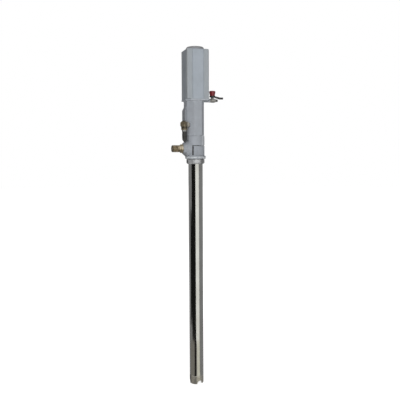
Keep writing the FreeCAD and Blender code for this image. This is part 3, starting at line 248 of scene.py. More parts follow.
world = bpy.data.worlds.new("white_surround")
tree = bare_tree(world)
seen = seen_directly(tree)
air = add_node(tree, "ShaderNodeBackground", {
    "Color": mixed(tree, seen, SOFT_COLOR, FULL_WHITE),
    "Strength": between(tree, seen, 0.0, 1.0, SOFT_LEVEL, 1.0),
})
add_node(tree, "ShaderNodeOutputWorld", {"Surface": air.outputs[0]})
bpy.context.scene.world = world
print("world: white to look at, light level", SOFT_LEVEL)

# %% [markdown]
# ### The floor
#
# The floor has a lit surface, so that a soft shadow stays at the foot, and on
# top of it a glow that only those same rays see. Near the pump the glow is weak
# enough to leave the shadow, and further off it rises to full white, so that no
# edge shows between floor and world.

# %% Make the floor
FLOOR_GAP = 0.0004
FLOOR_LEVEL = cad_low[2] - FLOOR_GAP
FLOOR_REACH = 12.0
FLOOR_HOLE = 0.0001
FLOOR_STEPS = 96
PAPER_TONE = (0.8, 0.8, 0.8, 1)
NEAR_GLOW = 0.64
GLOW_START = 0.7
GLOW_FULL = 1.5


def flat_ring(name, inner, outer, start, stop, height, steps):
    """A flat part of a ring round the pump's axis, facing up."""
    made = bmesh.new()
    rows = []
    for step in range(steps + 1):
        turn = start + (stop - start) * step / steps
        along = Vector((math.cos(turn), math.sin(turn), 0))
        rows.append([
            made.verts.new(along * inner + Vector((0, 0, height))),
            made.verts.new(along * outer + Vector((0, 0, height))),
        ])
    for near, far in zip(rows, rows[1:]):
        made.faces.new((near[0], near[1], far[1], far[0]))
    mesh = bpy.data.meshes.new(name)
    made.to_mesh(mesh)
    made.free()
    placed = bpy.data.objects.new(name, mesh)
    bpy.context.scene.collection.objects.link(placed)
    return placed


floor = flat_ring(
    "studio_floor", FLOOR_HOLE, FLOOR_REACH, 0, math.tau, FLOOR_LEVEL, FLOOR_STEPS,
)
paper = bpy.data.materials.new("white_paper")
tree = bare_tree(paper)
distance = length_of(tree, add_node(tree, "ShaderNodeTexCoord").outputs["Object"])
glow_level = between(tree, distance, GLOW_START, GLOW_FULL, NEAR_GLOW, 1.0)
lit = add_node(tree, "ShaderNodeBsdfDiffuse", {"Color": PAPER_TONE})
glow = add_node(tree, "ShaderNodeEmission", {
    "Color": FULL_WHITE,
    "Strength": times(tree, seen_directly(tree), glow_level),
})
both = add_node(tree, "ShaderNodeAddShader", {0: lit.outputs[0], 1: glow.outputs[0]})
add_node(tree, "ShaderNodeOutputMaterial", {"Surface": both.outputs[0]})
floor.data.materials.append(paper)
print("floor at z", round(FLOOR_LEVEL, 4), "reach", FLOOR_REACH, "m")

# %% [markdown]
# ## Lamps
#
# Large soft lamps light the pump: a key lamp left of the camera, so that the
# column's front and its slanted facet are equally light and the faces beside
# them are darker, a weaker one from above, a faint fill from the right, and one
# behind on the right for the other views. Polished metal only shows what it
# mirrors, so the lamps are kept out of mirror rays, and the next step gives the
# metal something to mirror.

# %% Hang the lamps
# Each row holds a lamp's name, place, target, width, height and power.
LAMPS = [
    ("key_lamp", (-0.92, -2.25, 0.45), (0, 0, -0.1), 1.2, 1.8, 43),
    ("top_lamp", (-0.2, -0.7, 2.1), (0, 0, 0.1), 1.6, 1.6, 6),
    ("fill_lamp", (2.2, -1.3, 0.3), (0, 0, -0.2), 1.4, 1.8, 2),
    ("back_lamp", (1.75, 1.85, 0.6), (0, 0, 0), 1.6, 1.8, 36),
]


def hang_lamp(name, place, target, width, height, power):
    """Hangs a soft rectangular lamp that points at the target."""
    light = bpy.data.lights.new(name, "AREA")
    light.shape = "RECTANGLE"
    light.size = width
    light.size_y = height
    light.energy = power
    lamp = bpy.data.objects.new(name, light)
    turn = (Vector(target) - Vector(place)).to_track_quat("-Z", "Y")
    lamp.matrix_world = Matrix.Translation(place) @ turn.to_matrix().to_4x4()
    lamp.visible_glossy = False
    bpy.context.scene.collection.objects.link(lamp)
    print(name, "at", place, "m,", power, "W")


for row in LAMPS:
    hang_lamp(*row)

# %% [markdown]
# ## Cards for the polished tube
#
# A polished tube has almost no colour of its own. What one sees are upright
# stripes: the studio, squeezed into the tube's width. Photographers shape them
# with cards. Here grey card stands all round the pump, with a black card left
# of the camera and a white one right of it. Because a mirror-like cylinder
# keeps each ray's slope, the lower tube mirrors the ground, so each card runs
# along the ground towards the foot as well, and warm cards lie close to the
# foot. The cards are seen by mirror rays only: they cast no shadow and never
# stand in the camera's way. Where two overlap, the later one lies on top.

# %% Stand the cards round the pump
CARD_RADIUS = 2.6
CARD_TOP = 2.6
CARD_SPACING = 0.01
CARD_LIFT = 0.0001
CARD_STEP = 4
CARD_HOLE = 0.001
LOW_WALL = -0.45
BLACK_START = 0.75
WARM_REACH = 0.5
CAMERA_AZIMUTH = math.degrees(math.atan2(CAMERA_PLACE.y, CAMERA_PLACE.x))
GREY = (0.33, 0.33, 0.335, 1)
WARM_GREY = (0.3, 0.285, 0.26, 1)
BLACK = (0.012, 0.012, 0.011, 1)
WHITE = (1.25, 1.25, 1.2, 1)
PALE_WARM = (0.95, 0.93, 0.82, 1)
# Each row holds a card's name, its first and last angle to the right of the
# camera, its light, its start on the ground and its top, or None if it lies.
CARDS = [
    ("grey_card", 52, 292, GREY, CARD_HOLE, CARD_TOP),
    ("black_card", 292, 357, BLACK, CARD_HOLE, CARD_TOP),
    ("white_card", 357, 412, WHITE, CARD_HOLE, CARD_TOP),
    ("low_black_card", 262, 292, BLACK, BLACK_START, LOW_WALL),
    ("warm_card", 262, 330, WARM_GREY, CARD_HOLE, None),
    ("pale_warm_card", 368, 412, PALE_WARM, CARD_HOLE, None),
    ("dim_warm_card", 357, 368, WARM_GREY, CARD_HOLE, None),
]


def raise_wall(mesh, top):
    """Adds a wall on a flat ring's outer rim, up to top."""
    wall = bmesh.new()
    wall.from_mesh(mesh)
    rim = list(wall.verts)[1::2]
    tops = [wall.verts.new((point.co.x, point.co.y, top)) for point in rim]
    for corners in zip(rim, rim[1:], tops[1:], tops):
        wall.faces.new(corners)
    wall.to_mesh(mesh)
    wall.free()


def stand_card(layer, name, first, last, light, inner, top):
    """A card on the ground between two angles, with a wall where it has a top."""
    made = flat_ring(
        name,
        inner,
        WARM_REACH if top is None else CARD_RADIUS - CARD_SPACING * layer,
        math.radians(CAMERA_AZIMUTH + first),
        math.radians(CAMERA_AZIMUTH + last),
        FLOOR_LEVEL + CARD_LIFT * (layer + 1),
        round((last - first) / CARD_STEP),
    )
    if top is not None:
        raise_wall(made.data, top)
    board = bpy.data.materials.new(name)
    tree = bare_tree(board)
    shine = add_node(tree, "ShaderNodeEmission", {"Color": light, "Strength": 1.0})
    add_node(tree, "ShaderNodeOutputMaterial", {"Surface": shine.outputs[0]})
    made.data.materials.append(board)
    for ray in ("camera", "diffuse", "shadow", "transmission", "volume_scatter"):
        setattr(made, f"visible_{ray}", False)


for layer, row in enumerate(CARDS):
    stand_card(layer, *row)
print("cards:", ", ".join(row[0] for row in CARDS))

# %% [markdown]
# ## Shared effects, as shader groups
#
# Three effects come back in many finishes. Drawn or turned metal has fine lines
# and cloudy patches. Castings have a sandy skin with darker hollows. Plastic and
# paint get scuffs from hands and hoses. Each effect is a group with named
# inputs, built once. A group gives out colour, roughness and height, and the
# Principled shader stays in the material, where its constants are set. Noise
# textures keep near their middle value, so a narrow range of theirs is
# stretched wherever a pattern needs clear patches.

# %% Helpers that start, fill and end a group
FLOAT = "NodeSocketFloat"
COLOR = "NodeSocketColor"
VECTOR = "NodeSocketVector"
SKIN_OUT = {"Color": COLOR, "Roughness": FLOAT, "Height": FLOAT}
NOISE_ROUGHNESS = 0.55


def new_group(name, inputs, outputs, tree_kind="ShaderNodeTree"):
    """An empty group, the sockets that it is given, and its end node."""
    group = bpy.data.node_groups.new(name, tree_kind)
    for way, sockets in (("INPUT", inputs), ("OUTPUT", outputs)):
        for label, kind in sockets.items():
            group.interface.new_socket(label, in_out=way, socket_type=kind)
    return group, group.nodes.new("NodeGroupInput").outputs, group.nodes.new("NodeGroupOutput")


def give_out(group, end, **values):
    """Joins values to the group's outputs of the same names, and ends the group."""
    for label, value in values.items():
        group.links.new(value, end.inputs[label])
    print(group.name, "has", len(group.nodes), "nodes")


def noise(group, place, scale, detail):
    """The grey value of a noise texture."""
    return add_node(group, "ShaderNodeTexNoise", {
        "Vector": place,
        "Scale": scale,
        "Detail": detail,
        "Roughness": NOISE_ROUGHNESS,
    }).outputs["Fac"]


def cloud(group, place, scale, low, high, detail=4.0):
    """A noise texture whose values from low to high are stretched to 0 to 1."""
    return between(group, noise(group, place, scale, detail), low, high)


print("a finish's group gives out:", ", ".join(SKIN_OUT))

# %% [markdown]
# ### Drawn and turned metal
#
# A cutting or drawing tool leaves lines in one direction. Noise that is
# stretched along that direction makes them, so the group multiplies its vector
# by a Stretch input first. A second, slower noise makes the patches in which
# oil and handling have dulled the metal.

# %% Build the group for worked metal
LINE_ROUGHNESS = 0.5

worked, given, end = new_group("worked_metal", {
    "Vector": VECTOR,
    "Stretch": VECTOR,
    "Color": COLOR,
    "Dull Color": COLOR,
    "Line Scale": FLOAT,
    "Patch Scale": FLOAT,
    "Line Amount": FLOAT,
    "Patch Amount": FLOAT,
    "Roughness": FLOAT,
    "Spread": FLOAT,
}, SKIN_OUT)
stretched = bend(worked, "MULTIPLY", given["Vector"], given["Stretch"])
lines = cloud(worked, stretched, given["Line Scale"], low=0.3, high=0.7, detail=3.0)
patches = cloud(worked, given["Vector"], given["Patch Scale"], low=0.35, high=0.7)
dullness = plus(
    worked,
    times(worked, lines, given["Line Amount"]),
    times(worked, patches, given["Patch Amount"]),
)
unevenness = plus(worked, patches, times(worked, lines, LINE_ROUGHNESS))
give_out(
    worked, end,
    Color=mixed(worked, dullness, given["Color"], given["Dull Color"]),
    Roughness=plus(worked, given["Roughness"], times(worked, unevenness, given["Spread"])),
    Height=lines,
)

# %% [markdown]
# ### Cast and blasted metal
#
# The column and the pump head are die cast and then blasted with grit. Grit
# leaves grains of a few tenths of a millimetre, and the mould leaves slow waves.
# Handling polishes the high spots and grease settles in the low ones, so the
# same height that bumps the surface also darkens it.

# %% Build the group for cast skin
HOLLOW_DIRT = 0.45
WAVE_DIRT = 0.55
WAVE_HEIGHT = 0.6

cast, given, end = new_group("cast_skin", {
    "Vector": VECTOR,
    "Color": COLOR,
    "Dirt Color": COLOR,
    "Grain Scale": FLOAT,
    "Wave Scale": FLOAT,
    "Dirt Amount": FLOAT,
    "Roughness": FLOAT,
    "Spread": FLOAT,
}, SKIN_OUT)
grains = noise(cast, given["Vector"], given["Grain Scale"], detail=2.0)
waves = cloud(cast, given["Vector"], given["Wave Scale"], low=0.3, high=0.7, detail=3.0)
hollows = between(cast, grains, low=0.62, high=0.38)
dirt = plus(cast, times(cast, hollows, HOLLOW_DIRT), times(cast, waves, WAVE_DIRT))
dirt = times(cast, dirt, given["Dirt Amount"])
give_out(
    cast, end,
    Color=mixed(cast, dirt, given["Color"], given["Dirt Color"]),
    Roughness=plus(cast, given["Roughness"], times(cast, waves, given["Spread"])),
    Height=plus(cast, grains, times(cast, waves, WAVE_HEIGHT)),
)

# %% [markdown]
# ### Moulded plastic, paint and rubber
#
# A mould gives plastic a fine leathery grain. Later come scuffs: short, thin,
# paler streaks in all directions. A voronoi texture whose cells are stretched
# gives thin lines where it measures the distance to the cell edges, and a noise
# decides where such scuffs are allowed.

# %% Build the group for moulded skin
SCUFF_STRETCH = (1.0, 0.35, 0.6)
SCUFF_WIDTH = 0.035
SCUFFED_SCALE = 45.0
SMUDGE_SCALE = 70.0
SMUDGE_AMOUNT = 0.12
GRAIN_HEIGHT = 0.6
SCUFF_HEIGHT = 0.4

moulded, given, end = new_group("moulded_skin", {
    "Vector": VECTOR,
    "Color": COLOR,
    "Scuff Color": COLOR,
    "Grain Scale": FLOAT,
    "Scuff Scale": FLOAT,
    "Scuff Amount": FLOAT,
    "Roughness": FLOAT,
    "Spread": FLOAT,
}, SKIN_OUT)
grain = noise(moulded, given["Vector"], given["Grain Scale"], detail=2.0)
cells = add_node(moulded, "ShaderNodeTexVoronoi", {
    "Vector": bend(moulded, "MULTIPLY", given["Vector"], SCUFF_STRETCH),
    "Scale": given["Scuff Scale"],
}, feature="DISTANCE_TO_EDGE").outputs["Distance"]
streaks = between(moulded, cells, low=SCUFF_WIDTH, high=0.0)
allowed = cloud(moulded, given["Vector"], SCUFFED_SCALE, low=0.5, high=0.62)
scuffs = times(moulded, times(moulded, streaks, allowed), given["Scuff Amount"])
smudge = cloud(moulded, given["Vector"], SMUDGE_SCALE, low=0.35, high=0.65, detail=3.0)
paleness = plus(moulded, scuffs, times(moulded, smudge, SMUDGE_AMOUNT))
give_out(
    moulded, end,
    Color=mixed(moulded, paleness, given["Color"], given["Scuff Color"]),
    Roughness=plus(moulded, given["Roughness"], times(moulded, smudge, given["Spread"])),
    Height=plus(moulded, times(moulded, grain, GRAIN_HEIGHT), times(moulded, scuffs, SCUFF_HEIGHT)),
)

# %% [markdown]
# ## The finishes
#
# One function turns a group and its values into a material. Metallic, coat and
# the relief's depth are the same all over a finish, so they are set on the
# material's own nodes. The pattern reads Object coordinates: one metre in the
# pattern is one metre on the pump, and the grain doesn't slide when a piece
# moves.

# %% A helper that makes a finish


def place_group(tree, group, place, values):
    """The outputs of a group that reads this place, with its inputs set by name."""
    inputs = {"Vector": place}
    for name, value in values.items():
        inputs[name.replace("_", " ").title()] = linear(*value) if "color" in name else value
    return add_node(tree, "ShaderNodeGroup", inputs, node_tree=group).outputs


def finish(name, group, relief, metallic=0.0, coat=0.0, specular=0.5, **values):
    """A material with one shared effect, a Principled shader and a bump."""
    made = bpy.data.materials.new(f"{name}_finish")
    tree = bare_tree(made)
    place = add_node(tree, "ShaderNodeTexCoord").outputs["Object"]
    skin = place_group(tree, group, place, values)
    bump = add_node(tree, "ShaderNodeBump", {
        "Strength": 1.0,
        "Distance": relief,
        "Height": skin["Height"],
    })
    shader = add_node(tree, "ShaderNodeBsdfPrincipled", {
        "Base Color": skin["Color"],
        "Roughness": skin["Roughness"],
        "Normal": bump.outputs["Normal"],
        "Metallic": metallic,
        "Coat Weight": coat,
        "Specular IOR Level": specular,
    })
    add_node(tree, "ShaderNodeOutputMaterial", {"Surface": shader.outputs[0]})
    return made


print("a finish needs a group, its values and how deep its relief is")

# %% [markdown]
# ### Steel finishes
#
# The tube is drawn and polished, with faint lines along it, and mirrors the
# cards. The foot is turned, so its lines run round it: the pattern is squeezed
# along the axis. Plated nuts are a little milky. The rods are hard chromed and
# ground, the brightest metal here, though they hide inside.

# %% Make the steel finishes
ALONG_TUBE = (1.0, 1.0, 0.012)
ROUND_TUBE = (0.05, 0.05, 1.0)

tube_steel = finish(
    "tube_steel", worked, relief=1.2e-6, metallic=1.0,
    stretch=ALONG_TUBE, color=(197, 198, 195), dull_color=(152, 149, 141),
    line_scale=1300, patch_scale=14, line_amount=0.22, patch_amount=0.3,
    roughness=0.1, spread=0.05,
)
foot_steel = finish(
    "foot_steel", worked, relief=6e-6, metallic=0.6,
    stretch=ROUND_TUBE, color=(184, 181, 171), dull_color=(142, 138, 128),
    line_scale=1100, patch_scale=40, line_amount=0.35, patch_amount=0.4,
    roughness=0.24, spread=0.12,
)
zinc_steel = finish(
    "zinc_steel", worked, relief=4e-6, metallic=0.48,
    stretch=ROUND_TUBE, color=(198, 200, 202), dull_color=(150, 150, 150),
    line_scale=900, patch_scale=60, line_amount=0.25, patch_amount=0.4,
    roughness=0.34, spread=0.14,
)
bright_rod = finish(
    "bright_rod", worked, relief=1e-6, metallic=1.0,
    stretch=ROUND_TUBE, color=(218, 220, 224), dull_color=(180, 182, 186),
    line_scale=2200, patch_scale=30, line_amount=0.15, patch_amount=0.2,
    roughness=0.06, spread=0.04,
)
honed_steel = finish(
    "honed_steel", worked, relief=3e-6, metallic=1.0,
    stretch=ROUND_TUBE, color=(170, 172, 175), dull_color=(120, 120, 120),
    line_scale=1800, patch_scale=50, line_amount=0.3, patch_amount=0.3,
    roughness=0.2, spread=0.1,
)
print("steel finishes: tube, foot, zinc, rod, honed")

# %% [markdown]
# ### Alloy, brass and nickel
#
# The cover is an extrusion with a satin skin: its lines run up and down. The
# column and the pump head are blasted castings, a little darker. Machined brass
# on a pump soon goes olive where grease sits on it, so its dull colour is a
# brownish green. The air valve is brass with a thin coat of nickel.

# %% Make the alloy and brass finishes
cover_alloy = finish(
    "cover_alloy", worked, relief=6e-6, specular=0.2,
    stretch=(1.0, 1.0, 0.02), color=(169, 177, 186), dull_color=(145, 152, 159),
    line_scale=1500, patch_scale=22, line_amount=0.3, patch_amount=0.35,
    roughness=0.4, spread=0.1,
)
cast_alloy = finish(
    "cast_alloy", cast, relief=9e-5, specular=0.15,
    color=(167, 172, 179), dirt_color=(108, 110, 112),
    grain_scale=1500, wave_scale=48, dirt_amount=0.34, roughness=0.46, spread=0.14,
)
brass = finish(
    "brass", worked, relief=5e-6, metallic=0.45,
    stretch=(1.0, 0.2, 0.2), color=(186, 171, 143), dull_color=(88, 79, 60),
    line_scale=900, patch_scale=90, line_amount=0.3, patch_amount=0.6,
    roughness=0.28, spread=0.16,
)
nickel_brass = finish(
    "nickel_brass", worked, relief=3e-6, metallic=0.7,
    stretch=(1.0, 0.1, 0.1), color=(158, 157, 153), dull_color=(96, 94, 88),
    line_scale=1100, patch_scale=110, line_amount=0.3, patch_amount=0.45,
    roughness=0.28, spread=0.14,
)
print("alloy and brass finishes: cover, casting, brass, nickel")

# %% [markdown]
# ### Plastic, paint and seals
#
# The silencer and the cover's cap are black plastic, the cap bleached to grey
# by light and hands. The lever is painted black, and a red cap sits on its hub.
# The seals inside are rubber and white fluoropolymer. All use the moulded skin,
# with scuffs of their own colour.

# %% Make the plastic, paint and seal finishes
silencer_black = finish(
    "silencer_black", moulded, relief=6e-5, specular=0.4,
    color=(52, 52, 52), scuff_color=(112, 110, 106),
    grain_scale=1400, scuff_scale=220, scuff_amount=0.35, roughness=0.5, spread=0.16,
)
cap_black = finish(
    "cap_black", moulded, relief=5e-5, specular=0.45,
    color=(140, 141, 144), scuff_color=(170, 171, 173),
    grain_scale=1700, scuff_scale=140, scuff_amount=0.35, roughness=0.42, spread=0.15,
)
cap_red = finish(
    "cap_red", moulded, relief=3e-5, coat=0.15,
    color=(112, 22, 30), scuff_color=(170, 92, 92),
    grain_scale=1900, scuff_scale=260, scuff_amount=0.3, roughness=0.32, spread=0.12,
)
lever_black = finish(
    "lever_black", moulded, relief=4e-5, coat=0.1,
    color=(26, 26, 27), scuff_color=(96, 96, 95),
    grain_scale=1300, scuff_scale=180, scuff_amount=0.5, roughness=0.34, spread=0.14,
)
seal_rubber = finish(
    "seal_rubber", moulded, relief=4e-5, specular=0.35,
    color=(44, 44, 44), scuff_color=(86, 84, 80),
    grain_scale=2200, scuff_scale=300, scuff_amount=0.2, roughness=0.6, spread=0.12,
)
seal_white = finish(
    "seal_white", moulded, relief=2e-5,
    color=(228, 228, 222), scuff_color=(190, 184, 168),
    grain_scale=1500, scuff_scale=260, scuff_amount=0.3, roughness=0.36, spread=0.1,
)
print("moulded finishes: silencer, cap, red cap, lever, rubber, white seal")

# %% [markdown]
# ## Dress every CAD piece
#
# Each CAD piece keeps its shape and gets its finish in its own material slots.
# Pieces that hide inside get one as well, because the pump may be taken apart.

# %% Give every CAD piece its finish
PIECES_BY_FINISH = {
    tube_steel: ["pump_tube"],
    foot_steel: ["foot_cage"],
    zinc_steel: [
        "collar_nut", "gland_nut", "lock_screw", "spool_plug", "tie_rods", "tie_rod_nuts",
        "cap_stud", "air_piston_nut", "shovel_nut", "shovel_plate", "lever_nut",
        "foot_valve_seat", "cylinder_ring", "rod_coupling",
    ],
    bright_rod: ["motor_rod", "connecting_rod", "shovel_rod", "piston_ball"],
    honed_steel: [
        "priming_cylinder", "pump_cylinder", "pump_piston", "piston_seat",
        "foot_valve_disc", "air_cylinder",
    ],
    cast_alloy: [
        "outlet_body", "motor_body", "lower_head", "upper_head", "air_piston", "valve_spool",
    ],
    cover_alloy: ["motor_cover"],
    brass: ["outlet_nipple", "exhaust_elbow"],
    nickel_brass: ["inlet_valve_body", "inlet_valve_end", "valve_stem", "valve_ball"],
    silencer_black: ["silencer", "silencer_collar"],
    cap_black: ["cover_cap"],
    cap_red: ["lever_cap"],
    lever_black: ["valve_lever"],
    seal_rubber: [
        "tube_gasket", "rod_seal", "air_piston_seal", "spool_seals", "stem_seal",
        "lower_bumper", "upper_bumper",
    ],
    seal_white: ["rod_packing", "pump_piston_seals", "valve_seats"],
}


def dress(piece, material):
    """Puts the material in every slot of the piece."""
    if not piece.material_slots:
        piece.data.materials.append(material)
    for place in piece.material_slots:
        place.material = material


dressed = set()
for material, names in PIECES_BY_FINISH.items():
    for name in names:
        dress(nodes[name], material)
        dressed.add(name)
print("dressed:", len(dressed), "of", len(nodes), "undressed:", sorted(set(nodes) - dressed))

# %% [markdown]
# ## Bands of grease, wear, painted shade and painted light
#
# Grease and dust stay where a finger can't wipe: at the joint between the pump
# head and the column, on the silencer's collar, and as a film on the lower tube.
# Rims that stand out are rubbed bright. Other bands are painted shade: in the
# grooves above and below the ribbed band, at the cover's lower edge, on the top
# of the collar nut and of the cap, and at both ends of the elbow. Painted light
# lies on the head's rubbed lower rim and on the plate under the cover. Such a
# band runs round the pump, so its
# mask only needs the height and the distance from the pump's axis, both from
# Object coordinates. A noise makes it patchy. The mask is one group, and each
# finish mixes in colours of its own with it.

# %% Build the band mask
EDGE_FADE = 0.0006
ANY_RADIUS = 1.0
FLAT = (1.0, 1.0, 0.0)
# The scale of the patches in every band, stains and painted shade alike
BAND_PATCH_SCALE = 120.0


def inside(group, value, low, high, fade):
    """1 between low and high and 0 beyond them, with soft steps as wide as fade."""
    above = between(group, less(group, value, low), 0.0, fade)
    below = between(group, less(group, high, value), 0.0, fade)
    return times(group, above, below)


band, given, end = new_group("band_mask", {
    "Vector": VECTOR,
    "Low": FLOAT,
    "High": FLOAT,
    "Fade": FLOAT,
    "Outer Radius": FLOAT,
    "Amount": FLOAT,
}, {"Share": FLOAT})
level = inside(band, split(band, given["Vector"])["Z"], given["Low"], given["High"], given["Fade"])
radius = length_of(band, bend(band, "MULTIPLY", given["Vector"], FLAT))
within = between(band, less(band, given["Outer Radius"], radius), 0.0, given["Fade"])
patchy = cloud(band, given["Vector"], BAND_PATCH_SCALE, low=0.25, high=0.65, detail=3.0)
share = times(band, times(band, level, within), patchy)
give_out(band, end, Share=times(band, share, given["Amount"]))

# %% [markdown]
# ### Laying the bands on
#
# A finish has one Base Color socket. Each new layer takes what feeds it, mixes
# its own colour over that by its mask, and feeds the socket with the result. So
# a later row lies on top.

# %% Lay the bands on the finishes


def parts_of(material):
    """A finish's node tree and its Object coordinates."""
    tree = material.node_tree
    return tree, next(n for n in tree.nodes if n.type == "TEX_COORD").outputs["Object"]


def lay_over(material, color, share):
    """Mixes a colour over all that a finish has so far."""
    tree = material.node_tree
    shader = next(n for n in tree.nodes if n.type == "BSDF_PRINCIPLED")
    base = shader.inputs["Base Color"]
    tree.links.new(mixed(tree, share, base.links[0].from_socket, linear(*color)), base)


def lay_by_mask(material, color, mask, **values):
    """Mixes a colour over a finish by a mask group with these values."""
    tree, place = parts_of(material)
    lay_over(material, color, place_group(tree, mask, place, values)["Share"])


def stain_and_light_band(material, color, amount, low, high, fade=EDGE_FADE, outer=ANY_RADIUS):
    """Lays a colour on a finish between two heights, inside a radius: stains, painted shade and
    painted light alike.
    """
    lay_by_mask(
        material, color, band, amount=amount, low=low, high=high, fade=fade, outer_radius=outer,
    )


# The rows below hold real stains and rubs as well as bands of painted shade and painted light.
STAINS_AND_PAINTED_LIGHT = [
    # Painted shade in the grooves above and below the ribbed band, darker above
    (cast_alloy, (48, 47, 44), 0.9, 0.0661, 0.0699, 0.0004, 0.0332),
    (cast_alloy, (70, 68, 63), 0.6, 0.0298, 0.0325, 0.0012, 0.0345),
    # The joint between the pump head and the column
    (cast_alloy, (82, 82, 80), 0.5, 0.103, 0.1048),
    # The pump head's lower rim, rubbed, with a painted highlight on it
    (cast_alloy, (222, 227, 229), 0.75, 0.0205, 0.0272, 0.0012),
    # Painted shade at the cover's lower edge, under its overhang
    (cover_alloy, (92, 95, 98), 0.25, 0.2388, 0.24, 0.0005),
    # The foot's rubbed rim, where the tube ends
    (foot_steel, (205, 203, 196), 0.7, -0.8205, -0.8186, 0.0005),
    # A film of grease on the lower tube, fading out at both ends
    (tube_steel, (150, 142, 122), 0.45, -0.9, -0.55, 0.25),
    # Painted shade on the top of the collar nut, in the gap under the head's rim
    (zinc_steel, (80, 78, 73), 0.7, 0.016, 0.018, 0.0008),
    # Painted light on the plate under the cover, which the cover shades
    (cast_alloy, (214, 219, 224), 0.35, 0.229, 0.2372, 0.0008),
    # Painted shade on the cap's upward-facing top
    (cap_black, (74, 75, 77), 0.7, 0.427, 0.43, 0.0008),
    # Pale dust on the silencer's collar
    (silencer_black, (176, 176, 173), 0.8, 0.119, 0.133),
    # Painted shade on the upper and the lower end of the exhaust elbow
    (brass, (40, 37, 30), 0.6, 0.1525, 0.162, 0.002),
    (brass, (40, 37, 30), 0.5, 0.13, 0.1385, 0.002),
]
for row in STAINS_AND_PAINTED_LIGHT:
    stain_and_light_band(*row)
print("bands:", len(STAINS_AND_PAINTED_LIGHT))

# %% [markdown]
# ## Spots of painted shade and painted light
#
# Other marks keep to one side. Most are painted shade: in the pocket at the end
# of the ribbed band, on the left sides of the castings, cover, collar nut and
# foot, under the nipple and the lever, and on the elbow. Painted highlights lie
# on the nipple's brass, and painted light on the head's right front and the
# elbow's neck. Their mask is an upright pillar with an oval plan. The vector
# from its middle is divided by its half sizes, so its length is 1 on the
# pillar's skin.

# %% Build the pillar mask
PILLAR_EDGE = 1.0
PILLAR_FULL = 0.75

pillar, given, end = new_group("pillar_mask", {
    "Vector": VECTOR,
    "Middle": VECTOR,
    "Half Size": VECTOR,
    "Low": FLOAT,
    "High": FLOAT,
    "Amount": FLOAT,
}, {"Share": FLOAT})
away = bend(pillar, "SUBTRACT", given["Vector"], given["Middle"])
scaled = bend(pillar, "DIVIDE", bend(pillar, "MULTIPLY", away, FLAT), given["Half Size"])
core = between(pillar, length_of(pillar, scaled), PILLAR_EDGE, PILLAR_FULL)
level = inside(pillar, split(pillar, given["Vector"])["Z"], given["Low"], given["High"], EDGE_FADE)
give_out(pillar, end, Share=times(pillar, times(pillar, core, level), given["Amount"]))

# %% Lay the spots on the finishes
POCKET_RADIUS = 0.034
POCKET_TURN = math.radians(-122)
pocket = (POCKET_RADIUS * math.cos(POCKET_TURN), POCKET_RADIUS * math.sin(POCKET_TURN))
elbow = (-0.0526, -0.0392)


def spot(material, color, amount, middle, half_size, low, high):
    """Lays a colour on a finish inside an upright oval pillar."""
    lay_by_mask(
        material, color, pillar, amount=amount, middle=(*middle, 0.0),
        half_size=(*half_size, 1.0), low=low, high=high,
    )


SPOTS = [
    # Castings: painted shade in the pocket, on the valve chest's side and on the head's side, and
    # painted light on the head's right front
    (cast_alloy, (52, 51, 48), 0.85, pocket, (0.0037, 0.0037), 0.0322, 0.0662),
    (cast_alloy, (86, 87, 87), 0.32, (-0.042, 0.006), (0.0075, 0.03), 0.105, 0.205),
    (cast_alloy, (84, 84, 82), 0.5, (-0.048, -0.004), (0.013, 0.03), 0.02, 0.044),
    (cast_alloy, (208, 213, 218), 0.7, (0.0225, -0.025), (0.009, 0.0095), 0.067, 0.106),
    # Painted shade on the cover's left side
    (cover_alloy, (112, 116, 121), 0.4, (-0.048, 0), (0.012, 0.12), 0.2, 0.45),
    # Painted shade on the collar nut's left side and on its flat at the right front
    (zinc_steel, (40, 39, 36), 0.85, (-0.0345, 0), (0.008, 0.0125), -0.01, 0.03),
    (zinc_steel, (70, 69, 66), 0.55, (0.0185, -0.03), (0.0095, 0.0095), -0.01, 0.03),
    # Painted shade on the foot's left side
    (foot_steel, (40, 40, 40), 0.75, (-0.027, 0), (0.0075, 0.0125), -0.86, -0.8),
    # The nipple's hexagon: a painted highlight above and painted shade below
    (brass, (226, 214, 190), 0.7, (-0.059, -0.016), (0.013, 0.01), 0.0555, 0.0665),
    (brass, (60, 54, 44), 0.6, (-0.056, -0.012), (0.015, 0.015), 0.039, 0.0525),
    # The elbow: painted shade all over and deeper at both ends, and a pale tint with painted light
    # on its neck at the right
    (brass, (74, 69, 56), 0.62, elbow, (0.03, 0.03), 0.12, 0.17),
    (brass, (38, 35, 26), 0.7, elbow, (0.03, 0.03), 0.1555, 0.164),
    (brass, (38, 35, 26), 0.65, elbow, (0.03, 0.03), 0.129, 0.1365),
    (brass, (204, 200, 188), 0.85, (-0.0385, -0.0385), (0.0105, 0.0125), 0.12, 0.17),
    # Painted shade at the nipple's open end
    (brass, (48, 44, 36), 0.7, (-0.0915, 0), (0.0042, 0.05), 0.04, 0.075),
    # Painted shade on the air valve's boss, under the lever
    (nickel_brass, (44, 44, 43), 0.8, (0.067, 0), (0.009, 0.009), 0.2446, 0.26),
]
for row in SPOTS:
    spot(*row)
print("spots:", len(SPOTS))

# %% [markdown]
# ### Worn corners on the cover, with a painted highlight
#
# The cover's four upright corners are knocked first, and there the anodised
# skin is rubbed to bare alloy. The paler colour there is also a painted
# highlight along the edges. On a square part the sum of the distances to both
# middle planes is largest at the corners, so that sum finds them, and noise
# breaks the wear into spots.

# %% Rub the cover's corners
CORNER_START = 0.0775
CORNER_FULL = 0.0812
WEAR_SCALE = 260.0
WEAR_IN_SPOTS = 0.5
WEAR_ALL_OVER = 0.1

